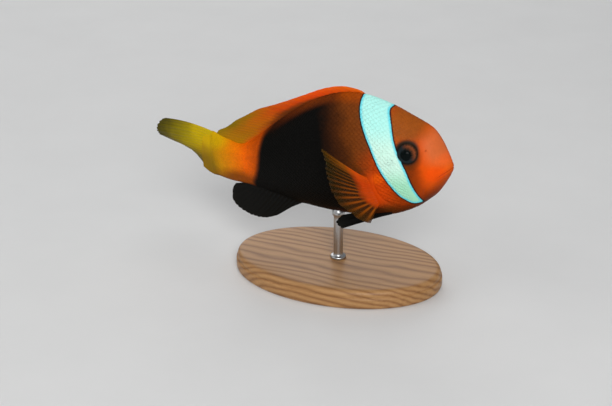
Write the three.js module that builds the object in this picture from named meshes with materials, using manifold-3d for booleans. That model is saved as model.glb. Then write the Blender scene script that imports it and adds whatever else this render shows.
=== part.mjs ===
// A life-size display model of a red-and-black anemonefish on a small stand.
//
// The fish is shaped straight first, in its own frame: distances run back from the snout, +Y is the
// fish's left and +Z its back. It is parted and fitted there, then its tail is curved to the left and
// the whole fish is set on the rod. The finished part stands on z = 0, with its head towards +X.
// Lengths are millimetres and angles are degrees, unless a name says otherwise.

import * as THREE from 'three';
import { mergeVertices } from 'three/addons/utils/BufferGeometryUtils.js';
import Module from 'manifold-3d';

const wasm = await Module();
wasm.setup();

// ---------------------------------------------------------------- driving dimensions

const bodyLength = 80; // snout tip to the end of the tail stalk
const seam = 0.3; // clear gap between neighbouring pieces
const finThickness = 0.6; // blades of all the fins
const tipRounding = 6; // length of the rounded snout
const roundSection = 0.5; // a section of the snout is an ellipse, and the back and belly
const keenSection = 0.16; // grow keener by this much until keenReach times the snout's length
const keenReach = 4;

// Each outline is [distance behind the snout, size] where its shape changes.
const backHeight = [
  [0, 4.4], [3, 9.4], [6.5, 12.9], [12, 16.2], [18, 19.4], [26, 22.2], [34, 22.4],
  [42, 20.3], [50, 16.4], [58, 11.2], [64, 7.1], [69, 4.6], [74, 5.5], [80, 7.9],
];
const bellyDepth = [
  [0, 4.0], [3, 6.6], [7, 10.0], [13, 14.0], [21, 16.7],
  [31, 17.2], [41, 16.4], [51, 14.4], [60, 11.5], [68, 9.4], [75, 8.5], [80, 7.4],
];
const halfWidth = [
  [0, 3.2], [5, 5.4], [12, 7.4], [20, 8.8], [30, 9.3],
  [42, 8.6], [54, 6.4], [66, 3.9], [75, 2.4], [80, 1.6],
];
const widestHeight = [[0, -0.2], [10, 1.6], [30, 3.0], [60, 2.2], [80, 0.8]];

const headEnd = 20.5; // where the head meets the trunk
const stalkStart = 64; // where the trunk meets the tail stalk

const eye = { back: 12.3, side: 5.5, up: 5.9, radius: 3.55, depth: 2.5, forward: 8, upward: 5 };
const mouth = { ahead: 3, lipDrop: -0.1, corner: 5.6, cornerDrop: -3.2, jawBack: 12.5, jawDrop: -20 };
const gillThickness = 1.1;
const gillEdge = [
  [16.8, 5.6], [19.6, 5.6], [21.6, 3.0], [22.6, -1.2], [22.2, -5.6], [20.0, -10.0],
  [16.4, -12.4], [12.8, -12.4], [13.4, -9.4], [15.4, -4.6], [16.2, 1.0],
];

// The tail curves to the left from bendStart on, on an arc.
const bendStart = 64;
const bendRadius = 90;

const beyond = 40; // further from the midline than any part of the body
const nearMiddle = 2; // the gill covers stay this far from the midline

const bodyRings = 36;
const bodySides = 30;
const gillCorners = 30;
const eyeSides = 20;
const baseSides = 24;
const rodSides = 20;

const noseUp = 6; // pitch of the fish on its stand
const balance = 37; // distance from the snout to the rod
const stand = {
  length: 68, width: 46, height: 6, edge: 0.8,
  rodRadius: 1.5, rodSocket: 4, rodInFish: 5, fishHeight: 39,
};

const colours = {
  orange: 0xd9570f,
  black: 0x14130f,
  yellow: 0xd9a406,
  eye: 0x0c0d10,
  wood: 0xb98d58,
  steel: 0xb9bcc0,
};

// ---------------------------------------------------------------- small tools

const radians = THREE.MathUtils.degToRad;

// A smooth curve through a short outline, as a function of its first number.
function smoothThrough(outline) {
  const last = outline.length - 1;
  const rise = (a, b) => (outline[b][1] - outline[a][1]) / (outline[b][0] - outline[a][0]);
  const slope = outline.map((_, i) => rise(Math.max(i - 1, 0), Math.min(i + 1, last)));
  return (x) => {
    let i = 0;
    while (i < last - 1 && x > outline[i + 1][0]) i++;
    const [x0, y0] = outline[i];
    const [x1, y1] = outline[i + 1];
    const span = x1 - x0;
    const t = THREE.MathUtils.clamp((x - x0) / span, 0, 1);
    const t2 = t * t;
    const t3 = t2 * t;
    return (2 * t3 - 3 * t2 + 1) * y0 + (t3 - 2 * t2 + t) * span * slope[i]
      + (3 * t2 - 2 * t3) * y1 + (t3 - t2) * span * slope[i + 1];
  };
}

function solidOf(geometry) {
  const bare = geometry.clone();
  bare.deleteAttribute('normal');
  bare.deleteAttribute('uv');
  const merged = mergeVertices(bare, 1e-4);
  return new wasm.Manifold(new wasm.Mesh({
    numProp: 3,
    vertProperties: merged.attributes.position.array,
    triVerts: new Uint32Array(merged.index.array),
  }));
}

function geometryOf(solid) {
  const mesh = solid.getMesh();
  const geometry = new THREE.BufferGeometry();
  geometry.setAttribute('position', new THREE.BufferAttribute(new Float32Array(mesh.vertProperties), 3));
  geometry.setIndex(new THREE.BufferAttribute(new Uint32Array(mesh.triVerts), 1));
  return geometry;
}

// A closed skin over a stack of rings, with a point at each end.
function closedLoft(rings, firstPoint, lastPoint) {
  const around = rings[0].length;
  const points = [firstPoint, ...rings.flat(), lastPoint];
  const faces = [];
  const at = (ring, k) => 1 + ring * around + (k % around);
  for (let k = 0; k < around; k++) {
    faces.push(0, at(0, k + 1), at(0, k));
    for (let ring = 0; ring < rings.length - 1; ring++) {
      faces.push(at(ring, k), at(ring + 1, k + 1), at(ring + 1, k));
      faces.push(at(ring, k), at(ring, k + 1), at(ring + 1, k + 1));
    }
    faces.push(points.length - 1, at(rings.length - 1, k), at(rings.length - 1, k + 1));
  }
  return new THREE.BufferGeometry().setFromPoints(points).setIndex(faces);
}

// ---------------------------------------------------------------- body form

const backAt = smoothThrough(backHeight);
const bellyAt = smoothThrough(bellyDepth);
const widthAt = smoothThrough(halfWidth);
const widestAt = smoothThrough(widestHeight);

function snoutRound(back) {
  const ahead = 1 - Math.min(Math.max(back, 0), tipRounding) / tipRounding;
  return Math.sqrt(1 - ahead * ahead);
}

// A point on the body's surface. turn runs round the section from the ridge of the back.
function bodyPoint(back, turn, grow) {
  const round = snoutRound(back);
  const up = backAt(back) * round + grow;
  const down = -bellyAt(back) * round - grow;
  const middle = widestAt(back) * round;
  const lift = Math.cos(turn);
  const side = Math.sin(turn);
  const fullness = Math.pow(1 - lift * lift, roundSection + keenSection * snoutRound(back / keenReach));
  const height = middle + lift * (lift > 0 ? up - middle : middle - down);
  return new THREE.Vector3(-back, Math.sign(side) * fullness * (widthAt(back) * round + grow), height);
}

function bodySolid(grow) {
  const rings = [];
  for (let i = 1; i <= bodyRings; i++) {
    const share = i / bodyRings;
    const crowded = 1 - 0.25 * (1 - share) ** 6; // the rings lie closer at the snout
    const back = bodyLength * share * (0.65 + 0.35 * share) * crowded;
    const ring = [];
    for (let k = 0; k < bodySides; k++) {
      const point = bodyPoint(back, (2 * Math.PI * k) / bodySides, grow);
      point.x += grow * (1 - 2 * share);
      ring.push(point);
    }
    rings.push(ring);
  }
  return solidOf(closedLoft(
    rings,
    new THREE.Vector3(grow, 0, 0),
    new THREE.Vector3(-bodyLength - grow, 0, widestAt(bodyLength)),
  ));
}

// A block between two distances behind the snout, wider and taller than the fish.
function slab(from, to) {
  const geometry = new THREE.BoxGeometry(to - from, 2 * beyond, 2 * beyond);
  geometry.translate(-(from + to) / 2, 0, 0);
  return solidOf(geometry);
}

// A side-view outline of [distance behind the snout, height] corners, carried through from side to side.
function sideCut(outline, fromSide, toSide) {
  const shape = new THREE.Shape(outline.map(([back, up]) => new THREE.Vector2(-back, up)));
  const geometry = new THREE.ExtrudeGeometry(shape, { depth: toSide - fromSide, bevelEnabled: false });
  geometry.rotateX(Math.PI / 2);
  geometry.translate(0, toSide, 0);
  return solidOf(geometry);
}

// ---------------------------------------------------------------- head

function eyeForm(side, grow) {
  const geometry = new THREE.SphereGeometry(1, eyeSides, eyeSides / 2);
  geometry.rotateX(Math.PI / 2);
  geometry.scale(eye.radius + grow, eye.depth + grow, eye.radius + grow);
  geometry.rotateX(side * radians(eye.upward));
  geometry.rotateZ(-side * radians(eye.forward));
  geometry.translate(-eye.back, side * eye.side, eye.up);
  return solidOf(geometry);
}

// The space of the lower jaw, taken in by half a gap at the mouth and by a whole one behind the jaw.
function jawCut(gap) {
  const { ahead, corner, cornerDrop, lipDrop, jawBack, jawDrop } = mouth;
  return sideCut([
    [-ahead, lipDrop - gap / 2],
    [corner, cornerDrop - gap / 2],
    [jawBack - gap, jawDrop],
    [-ahead, jawDrop],
  ], -beyond, beyond);
}

// The gill cover's rounded outline, in side view, let out by a gap.
function gillOutline(gap) {
  const corners = gillEdge.map(([back, up]) => new THREE.Vector3(back, up, 0));
  const edge = new THREE.CatmullRomCurve3(corners, true);
  const facing = new THREE.Vector3(0, 0, 1);
  const outline = [];
  for (let i = 0; i < gillCorners; i++) {
    const out = edge.getTangentAt(i / gillCorners).cross(facing);
    const corner = edge.getPointAt(i / gillCorners).addScaledVector(out, -gap);
    outline.push([corner.x, corner.y]);
  }
  return outline;
}

// The plate, or the pocket that it lies in, is what the outline leaves of a skin of the given depth.
function gillPiece(side, gap, core) {
  const reach = side > 0 ? [nearMiddle, beyond] : [-beyond, -nearMiddle];
  return sideCut(gillOutline(gap), ...reach).subtract(core);
}

// ---------------------------------------------------------------- fins

// A thin blade. rayAt(across, along) gives the middle of the blade; both numbers run from 0 to 1.
function blade(rayAt, [acrossCount, alongCount], thicknessAt) {
  const within = (value, most) => THREE.MathUtils.clamp(value, 0, most);
  const index = (i, j) => within(i, acrossCount) * (alongCount + 1) + within(j, alongCount);
  const middle = [];
  const thickness = [];
  for (let i = 0; i <= acrossCount; i++) {
    for (let j = 0; j <= alongCount; j++) {
      middle.push(rayAt(i / acrossCount, j / alongCount));
      thickness.push(thicknessAt(i / acrossCount, j / alongCount));
    }
  }
  const between = (from, to) => middle[to].clone().sub(middle[from]);
  const faceAt = (i, j) => between(index(i - 1, j), index(i + 1, j))
    .cross(between(index(i, j - 1), index(i, j + 1))).normalize();
  const points = [];
  for (const side of [0.5, -0.5]) {
    for (let i = 0; i <= acrossCount; i++) {
      for (let j = 0; j <= alongCount; j++) {
        const k = index(i, j);
        points.push(middle[k].clone().addScaledVector(faceAt(i, j), side * thickness[k]));
      }
    }
  }
  const far = middle.length;
  const faces = [];
  const quad = (a, b, c, d) => faces.push(a, b, c, a, c, d);
  for (let i = 0; i < acrossCount; i++) {
    for (let j = 0; j < alongCount; j++) {
      const corners = [index(i, j), index(i + 1, j), index(i + 1, j + 1), index(i, j + 1)];
      quad(...corners);
      quad(...corners.reverse().map((corner) => corner + far));
    }
  }
  const rim = [];
  for (let i = 0; i < acrossCount; i++) rim.push(index(i, 0));
  for (let j = 0; j < alongCount; j++) rim.push(index(acrossCount, j));
  for (let i = acrossCount; i > 0; i--) rim.push(index(i, alongCount));
  for (let j = alongCount; j > 0; j--) rim.push(index(0, j));
  rim.forEach((corner, k) => {
    const next = rim[(k + 1) % rim.length];
    quad(corner, corner + far, next + far, next);
  });
  const solid = solidOf(new THREE.BufferGeometry().setFromPoints(points).setIndex(faces));
  if (solid.volume() > 0) return solid;
  return solidOf(new THREE.BufferGeometry().setFromPoints(points).setIndex(faces.reverse()));
}

// An unpaired fin on the midline. Each ray is [share of the base, length, sweep back from upright to the
// body's edge], and root is how deep its foot is sunk before it is trimmed to the body. Stiff spines hold
// spinyShare of the dorsal fin.
function midlineFin(fin, up) {
  const lengthAt = smoothThrough(fin.rays.map(([share, length]) => [share, length]));
  const sweepAt = smoothThrough(fin.rays.map(([share, , sweep]) => [share, sweep]));
  const edgeAt = up > 0 ? backAt : bellyAt;
  return (across, along) => {
    const share = fin.from + (fin.to - fin.from) * across;
    const back = fin.baseStart + (fin.baseEnd - fin.baseStart) * share;
    const slope = Math.atan((edgeAt(back + 1) - edgeAt(back - 1)) / 2);
    const reach = along * (lengthAt(share) + fin.root);
    const sweep = radians(sweepAt(share)) - slope + radians(fin.curl * along);
    return new THREE.Vector3(
      -back - reach * Math.sin(sweep),
      0,
      up * (edgeAt(back) - fin.root + reach * Math.cos(sweep)),
    );
  };
}

const dorsalFin = {
  baseStart: 24, baseEnd: 69, spinyShare: 0.6, root: 1.4, curl: 4, spinySteps: [20, 3], softSteps: [12, 6],
  rays: [
    [0, 3.2, 62], [0.08, 5.2, 61], [0.25, 5.3, 56], [0.38, 5.3, 51], [0.46, 6.1, 48], [0.55, 7.9, 45],
    [0.63, 10.3, 43], [0.8, 12.2, 42], [0.92, 12.4, 45], [1, 9.4, 58],
  ],
};

const analFin = {
  baseStart: 49, baseEnd: 68, from: 0, to: 1, root: 1.4, curl: 8, steps: [14, 6],
  rays: [
    [0, 3.6, 42], [0.15, 9.2, 27], [0.4, 12.2, 19], [0.7, 12.2, 24], [0.87, 10.9, 32],
    [0.94, 8.4, 42], [1, 4.6, 58],
  ],
};

// A paired fin. Its rays fan out from a short base on the body's side, each being
// [share of the fan, length, climb, lean away from the body, how much steeper its root climbs].
const pectoral = {
  baseTop: [23.7, -1.2], baseLow: [22.2, -10.4],
  rootThickness: 1.5, rootShare: 0.22, cup: 0.006, steps: [12, 8],
  rays: [
    [0, 18.8, 41, 26, 16], [0.25, 18.4, 43, 34, 11], [0.5, 17.6, 38, 41, 5],
    [0.7, 15.6, 28, 47, 0], [0.85, 11.8, 4, 55, -6], [1, 7.8, -58, 57, -10],
  ],
};
const pelvic = {
  baseTop: [20.6, 2.9], baseLow: [25.4, 1.6], sunk: 1.2, cup: 0.002, steps: [7, 6],
  rays: [[0, 16.4, -17, 13, 0], [0.35, 16.2, -11, 10, 0], [0.7, 12.8, -5, 7, 0], [1, 8.0, -2, 4, 0]],
};

function fanRay(fan, baseAt, side) {
  const [lengthAt, climbAt, leanAt, archAt] = [1, 2, 3, 4].map(
    (column) => smoothThrough(fan.rays.map((ray) => [ray[0], ray[column]])),
  );
  return (across, along) => {
    const climb = radians(climbAt(across) + archAt(across) * (1 - along));
    const lean = radians(leanAt(across));
    const reach = along * lengthAt(across);
    const base = baseAt(across);
    return new THREE.Vector3(
      base.x - reach * Math.cos(climb) * Math.cos(lean),
      side * (base.y + reach * Math.sin(lean) - fan.cup * reach * reach),
      base.z + reach * Math.sin(climb) * Math.cos(lean),
    );
  };
}

// How far the body's side is from the midline at one height.
function sideAt(back, height) {
  let low = 0;
  let high = Math.PI;
  for (let i = 0; i < 30; i++) {
    const turn = (low + high) / 2;
    if (bodyPoint(back, turn, 0).z > height) low = turn;
    else high = turn;
  }
  return bodyPoint(back, low, 0).y;
}

function pectoralBase(across) {
  const back = THREE.MathUtils.lerp(pectoral.baseTop[0], pectoral.baseLow[0], across);
  const up = THREE.MathUtils.lerp(pectoral.baseTop[1], pectoral.baseLow[1], across);
  return new THREE.Vector3(-back, sideAt(back, up) + seam + pectoral.rootThickness / 2, up);
}

function pelvicBase(across) {
  const back = THREE.MathUtils.lerp(pelvic.baseTop[0], pelvic.baseLow[0], across);
  const side = THREE.MathUtils.lerp(pelvic.baseTop[1], pelvic.baseLow[1], across);
  return new THREE.Vector3(-back, side, -bellyAt(back) + pelvic.sunk);
}

// The tail fin is half open, and its lower rays curl further to the left than its upper ones. Each ray is
// [share of the fin from its lower edge, length, climb, turn to the left by its tip, arch].
const tailFin = {
  baseLow: -7.1, baseTop: 7.6, rootThickness: 2.4, rootShare: 0.22, steps: [14, 10],
  rays: [
    [0, 16.0, 13, 86, 0], [0.25, 20.2, 11, 50, 0], [0.5, 23.6, 5, 18, 0], [0.75, 23.8, 4, 4, 4],
    [0.92, 21.8, 7, 2, 8], [1, 19.6, 8, 2, 10],
  ],
};
const [tailLengthAt, tailClimbAt, tailTurnAt, tailArchAt] = [1, 2, 3, 4].map(
  (column) => smoothThrough(tailFin.rays.map((ray) => [ray[0], ray[column]])),
);

function tailRay(across, along) {
  const heading = bendAngle(bodyLength + seam);
  const turned = radians(tailTurnAt(across));
  const place = bent(new THREE.Vector3(
    -bodyLength - seam, 0, THREE.MathUtils.lerp(tailFin.baseLow, tailFin.baseTop, across),
  ));
  const steps = 12;
  const step = (along * tailLengthAt(across)) / steps;
  for (let i = 0; i < steps; i++) {
    const share = (along * (i + 0.5)) / steps;
    const angle = heading + turned * share;
    const climb = radians(tailClimbAt(across) + tailArchAt(across) * (1 - 2 * share));
    place.x -= step * Math.cos(angle) * Math.cos(climb);
    place.y += step * Math.sin(angle) * Math.cos(climb);
    place.z += step * Math.sin(climb);
  }
  return place;
}

function rootedThickness(fin) {
  return (across, along) => THREE.MathUtils.lerp(
    fin.rootThickness, finThickness, THREE.MathUtils.smoothstep(along, 0, fin.rootShare),
  );
}

// ---------------------------------------------------------------- pose

function bendAngle(back) {
  return Math.max(back - bendStart, 0) / bendRadius;
}

// Moves a point of the straight fish to where the curved tail carries it.
function bent(point) {
  const back = -point.x;
  const angle = bendAngle(back);
  if (angle === 0) return point.clone();
  return new THREE.Vector3(
    -bendStart - bendRadius * Math.sin(angle) + point.y * Math.sin(angle),
    bendRadius * (1 - Math.cos(angle)) + point.y * Math.cos(angle),
    point.z,
  );
}

function bentGeometry(solid) {
  const geometry = geometryOf(solid);
  const place = geometry.attributes.position;
  for (let i = 0; i < place.count; i++) {
    place.setXYZ(i, ...bent(new THREE.Vector3().fromBufferAttribute(place, i)).toArray());
  }
  return geometry;
}

const fish = new THREE.Group();
fish.rotation.y = -radians(noseUp);
fish.position.set(
  balance * Math.cos(radians(noseUp)), 0, stand.fishHeight + balance * Math.sin(radians(noseUp)),
);
fish.updateMatrix();

// ---------------------------------------------------------------- stand

function standBase() {
  const shape = new THREE.Shape();
  shape.absellipse(0, 0, stand.length / 2 - stand.edge, stand.width / 2 - stand.edge, 0, 2 * Math.PI);
  const geometry = new THREE.ExtrudeGeometry(shape, {
    depth: stand.height - 2 * stand.edge, bevelEnabled: true,
    bevelThickness: stand.edge, bevelSize: stand.edge, bevelSegments: 2, curveSegments: baseSides / 2,
  });
  geometry.translate(0, 0, stand.edge);
  return solidOf(geometry).subtract(rodForm(seam / 2));
}

// The rod runs from its socket in the base into the belly.
function rodForm(grow) {
  const bottom = stand.height - stand.rodSocket - grow;
  const bellyHeight = stand.fishHeight - bellyAt(balance);
  const top = bellyHeight + stand.rodInFish + grow;
  const radius = stand.rodRadius + grow;
  const geometry = new THREE.CylinderGeometry(radius, radius, top - bottom, rodSides);
  geometry.rotateX(Math.PI / 2);
  geometry.translate(0, 0, (top + bottom) / 2);
  return solidOf(geometry);
}

// The same rod as the straight fish sees it.
function rodInFishFrame(grow) {
  const geometry = geometryOf(rodForm(grow));
  geometry.applyMatrix4(fish.matrix.clone().invert());
  return solidOf(geometry);
}

// ---------------------------------------------------------------- assembly

function addPiece(group, name, geometry, color, roughness = 0.45, metalness = 0) {
  const material = new THREE.MeshStandardMaterial({ color, roughness, metalness });
  const mesh = new THREE.Mesh(geometry, material);
  mesh.name = name;
  group.add(mesh);
}

const wholeBody = bodySolid(0);
const bodyWithGap = bodySolid(seam);
const plateCore = bodySolid(-gillThickness);
const pocketCore = bodySolid(-gillThickness - seam);

let head = wholeBody.intersect(slab(-seam, headEnd)).subtract(jawCut(-seam));
let trunk = wholeBody.intersect(slab(headEnd + seam, stalkStart)).subtract(rodInFishFrame(seam));
const jaw = wholeBody.intersect(jawCut(seam));
const stalk = wholeBody.intersect(slab(stalkStart + seam, bodyLength + seam));

for (const [sideName, side] of [['right', -1], ['left', 1]]) {
  const pocket = gillPiece(side, seam, pocketCore);
  head = head.subtract(pocket).subtract(eyeForm(side, seam));
  trunk = trunk.subtract(pocket);
  const cover = wholeBody.intersect(gillPiece(side, 0, plateCore));
  addPiece(fish, 'gill_cover_' + sideName, bentGeometry(cover), colours.orange);
  addPiece(fish, 'eye_' + sideName, bentGeometry(eyeForm(side, 0)), colours.eye, 0.1);

  const upperFin = blade(fanRay(pectoral, pectoralBase, side), pectoral.steps, rootedThickness(pectoral));
  const lowerFin = blade(fanRay(pelvic, pelvicBase, side), pelvic.steps, () => finThickness);
  addPiece(fish, 'pectoral_fin_' + sideName, bentGeometry(upperFin.subtract(bodyWithGap)), colours.orange);
  addPiece(fish, 'pelvic_fin_' + sideName, bentGeometry(lowerFin.subtract(bodyWithGap)), colours.black);
}
addPiece(fish, 'head', bentGeometry(head), colours.orange);
addPiece(fish, 'lower_jaw', bentGeometry(jaw), colours.orange);
addPiece(fish, 'trunk', bentGeometry(trunk), colours.black);
addPiece(fish, 'tail_stalk', bentGeometry(stalk), colours.yellow);

const { spinyShare } = dorsalFin;
const dorsalGap = seam / (dorsalFin.baseEnd - dorsalFin.baseStart);
const spinyPart = midlineFin({ ...dorsalFin, from: 0, to: spinyShare }, 1);
const softPart = midlineFin({ ...dorsalFin, from: spinyShare + dorsalGap, to: 1 }, 1);
for (const [name, rayAt, steps, colour] of [
  ['dorsal_fin_spines', spinyPart, dorsalFin.spinySteps, colours.orange],
  ['dorsal_fin_soft', softPart, dorsalFin.softSteps, colours.yellow],
  ['anal_fin', midlineFin(analFin, -1), analFin.steps, colours.black],
]) {
  const fin = blade(rayAt, steps, () => finThickness).subtract(bodyWithGap);
  addPiece(fish, name, bentGeometry(fin), colour);
}
const tail = blade(tailRay, tailFin.steps, rootedThickness(tailFin));
addPiece(fish, 'tail_fin', geometryOf(tail), colours.yellow);

const model = new THREE.Group();
model.add(fish);
addPiece(model, 'stand_base', geometryOf(standBase()), colours.wood, 0.5);
addPiece(model, 'stand_rod', geometryOf(rodForm(0)), colours.steel, 0.25, 1);

export default model;
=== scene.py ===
import math

import bpy
import numpy as np
from mathutils import Matrix, Vector


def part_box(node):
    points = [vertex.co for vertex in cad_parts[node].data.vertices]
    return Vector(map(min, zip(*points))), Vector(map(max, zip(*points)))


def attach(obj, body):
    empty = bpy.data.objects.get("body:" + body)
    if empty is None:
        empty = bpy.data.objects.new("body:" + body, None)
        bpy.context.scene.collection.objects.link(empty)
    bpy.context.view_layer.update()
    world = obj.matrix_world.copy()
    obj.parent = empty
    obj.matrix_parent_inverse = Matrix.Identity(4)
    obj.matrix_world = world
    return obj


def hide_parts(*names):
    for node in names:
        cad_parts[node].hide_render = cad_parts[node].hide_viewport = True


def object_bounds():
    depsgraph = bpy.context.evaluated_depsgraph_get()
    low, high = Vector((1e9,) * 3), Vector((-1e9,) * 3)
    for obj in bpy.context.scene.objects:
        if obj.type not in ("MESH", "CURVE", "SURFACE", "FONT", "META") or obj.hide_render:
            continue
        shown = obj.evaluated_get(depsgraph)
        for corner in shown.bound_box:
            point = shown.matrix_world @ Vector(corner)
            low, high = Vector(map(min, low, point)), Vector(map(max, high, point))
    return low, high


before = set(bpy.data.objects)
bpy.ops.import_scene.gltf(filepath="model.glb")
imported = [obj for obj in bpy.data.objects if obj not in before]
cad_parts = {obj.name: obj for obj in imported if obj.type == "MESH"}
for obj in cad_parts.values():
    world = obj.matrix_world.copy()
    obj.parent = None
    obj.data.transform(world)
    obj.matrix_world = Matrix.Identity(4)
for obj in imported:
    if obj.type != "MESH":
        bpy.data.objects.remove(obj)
cadBox = [list(corner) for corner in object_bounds()]
bothSides = (("right", -1), ("left", 1))
print("frame loaded:", len(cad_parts), "nodes")

# The fish is shaped straight, in millimetres: distances run back from the snout, +Y is its left and +Z its
# back. Then its tail is curved to the left and the whole fish is pitched nose up over the rod.
fishForm = {
    "length": 80.0,
    "tipRounding": 6.0,
    "roundSection": 0.5,
    "keenSection": 0.16,
    "keenReach": 4.0,
    "back": [(0, 4.4), (3, 9.4), (6.5, 12.9), (12, 16.2), (18, 19.4), (26, 22.2), (34, 22.4), (42, 20.3),
             (50, 16.4), (58, 11.2), (64, 7.1), (69, 4.6), (74, 5.5), (80, 7.9)],
    "belly": [(0, 4.0), (3, 6.6), (7, 10.0), (13, 14.0), (21, 16.7), (31, 17.2), (41, 16.4), (51, 14.4),
              (60, 11.5), (68, 9.4), (75, 8.5), (80, 7.4)],
    "halfWidth": [(0, 3.2), (5, 5.4), (12, 7.4), (20, 8.8), (30, 9.3), (42, 8.6), (54, 6.4), (66, 3.9),
                  (75, 2.4), (80, 1.6)],
    "widest": [(0, -0.2), (10, 1.6), (30, 3.0), (60, 2.2), (80, 0.8)],
    "bendStart": 64.0,
    "bendRadius": 90.0,
    "noseUp": 6.0,
    "balance": 37.0,
    "height": 39.0,
    "tailFade": 6.0,  # how far the flesh runs out over the tail fin's root
    "tailDraw": 2.4,  # how much its outline draws in there
    "endTaper": 0.9,
}


# A smooth curve through the places of an outline.
def smoothThrough(outline):
    x, y = np.array(outline, float).T
    last = len(x) - 1
    before = np.maximum(np.arange(last + 1) - 1, 0)
    after = np.minimum(np.arange(last + 1) + 1, last)
    slope = (y[after] - y[before]) / (x[after] - x[before])

    def curve(at):
        at = np.asarray(at, float)
        i = np.clip(np.searchsorted(x, at) - 1, 0, last - 1)
        span = x[i + 1] - x[i]
        t = np.clip((at - x[i]) / span, 0, 1)
        rise = (3 - 2 * t) * t * t
        bow = (t - 1) * t * span
        return y[i] + rise * (y[i + 1] - y[i]) + bow * ((t - 1) * slope[i] + t * slope[i + 1])

    return curve


def smoothStep(value, low, high):
    t = np.clip((value - low) / (high - low), 0, 1)
    return t * t * (3 - 2 * t)


def bell(value, width):
    return np.exp(-((value / width) ** 2))


backAt = smoothThrough(fishForm["back"])
bellyAt = smoothThrough(fishForm["belly"])
widthAt = smoothThrough(fishForm["halfWidth"])
widestAt = smoothThrough(fishForm["widest"])


def snoutRound(back):
    ahead = 1 - np.clip(back, 0, fishForm["tipRounding"]) / fishForm["tipRounding"]
    return np.sqrt(np.clip(1 - ahead * ahead, 0, 1))


# The plain form of the body. turn runs round the section from the ridge of the back, to the left first.
def bodyPoint(back, turn):
    back, turn = np.broadcast_arrays(np.asarray(back, float), np.asarray(turn, float))
    end = np.clip((back - fishForm["length"]) / fishForm["tailFade"], 0, 1)
    blunt = snoutRound(back)
    drawnIn = fishForm["tailDraw"] * end * end
    up = (backAt(back) - drawnIn) * blunt
    down = -(bellyAt(back) - drawnIn) * blunt
    middle = widestAt(back) * blunt
    lift = np.cos(turn)
    side = np.sin(turn)
    keen = fishForm["keenSection"] * snoutRound(back / fishForm["keenReach"])
    full = np.clip(1 - lift * lift, 0, 1) ** (fishForm["roundSection"] + keen)
    width = widthAt(back) * blunt * (1 - end) ** fishForm["endTaper"]
    height = middle + lift * np.where(lift > 0, up - middle, middle - down)
    return np.stack([-back, np.sign(side) * full * width, height], -1)


def bendAngle(back):
    return np.maximum(back - fishForm["bendStart"], 0) / fishForm["bendRadius"]


def bent(points):
    radius = fishForm["bendRadius"]
    angle = bendAngle(-points[..., 0])
    beyond = angle > 0
    out = points.copy()
    out[..., 0] = np.where(
        beyond,
        -fishForm["bendStart"] - radius * np.sin(angle) + points[..., 1] * np.sin(angle),
        points[..., 0],
    )
    out[..., 1] = np.where(
        beyond, radius * (1 - np.cos(angle)) + points[..., 1] * np.cos(angle), points[..., 1]
    )
    return out


# Sets points of the fish on the stand, in metres.
def posed(points):
    pitch = math.radians(fishForm["noseUp"])
    x, y, z = points[..., 0] + fishForm["balance"], points[..., 1], points[..., 2]
    out = [x * math.cos(pitch) - z * math.sin(pitch), y, x * math.sin(pitch) + z * math.cos(pitch)]
    out[2] = out[2] + fishForm["height"]
    return np.stack(out, -1) * 0.001


def unit(vectors):
    return vectors / np.maximum(np.linalg.norm(vectors, axis=-1, keepdims=True), 1e-12)


# Distance from side-view places to a line of corners, how far along it the nearest one is, and its side.
def lineDistance(back, up, corners):
    corners = np.array(corners, float)
    best = np.full(np.shape(back), 1e9)
    side = np.zeros(np.shape(back))
    along = np.zeros(np.shape(back))
    run = 0.0
    total = np.linalg.norm(np.diff(corners, axis=0), axis=1).sum()
    for a, b in zip(corners[:-1], corners[1:]):
        step = b - a
        length = np.hypot(*step)
        t = np.clip(((back - a[0]) * step[0] + (up - a[1]) * step[1]) / length**2, 0, 1)
        offX = back - a[0] - t * step[0]
        offZ = up - a[1] - t * step[1]
        distance = np.hypot(offX, offZ)
        nearer = distance < best
        best = np.where(nearer, distance, best)
        side = np.where(nearer, np.sign(step[0] * offZ - step[1] * offX), side)
        along = np.where(nearer, (run + t * length) / total, along)
        run += length
    return best, along, side


# Rounds a line off by cutting its corners.
def rounded(corners, rounds=3):
    points = np.array(corners, float)
    for _ in range(rounds):
        near = 0.75 * points[:-1] + 0.25 * points[1:]
        far = 0.25 * points[:-1] + 0.75 * points[1:]
        middle = np.stack([near, far], 1).reshape(-1, 2)
        points = np.concatenate([points[:1], middle, points[-1:]])
    return points


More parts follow.
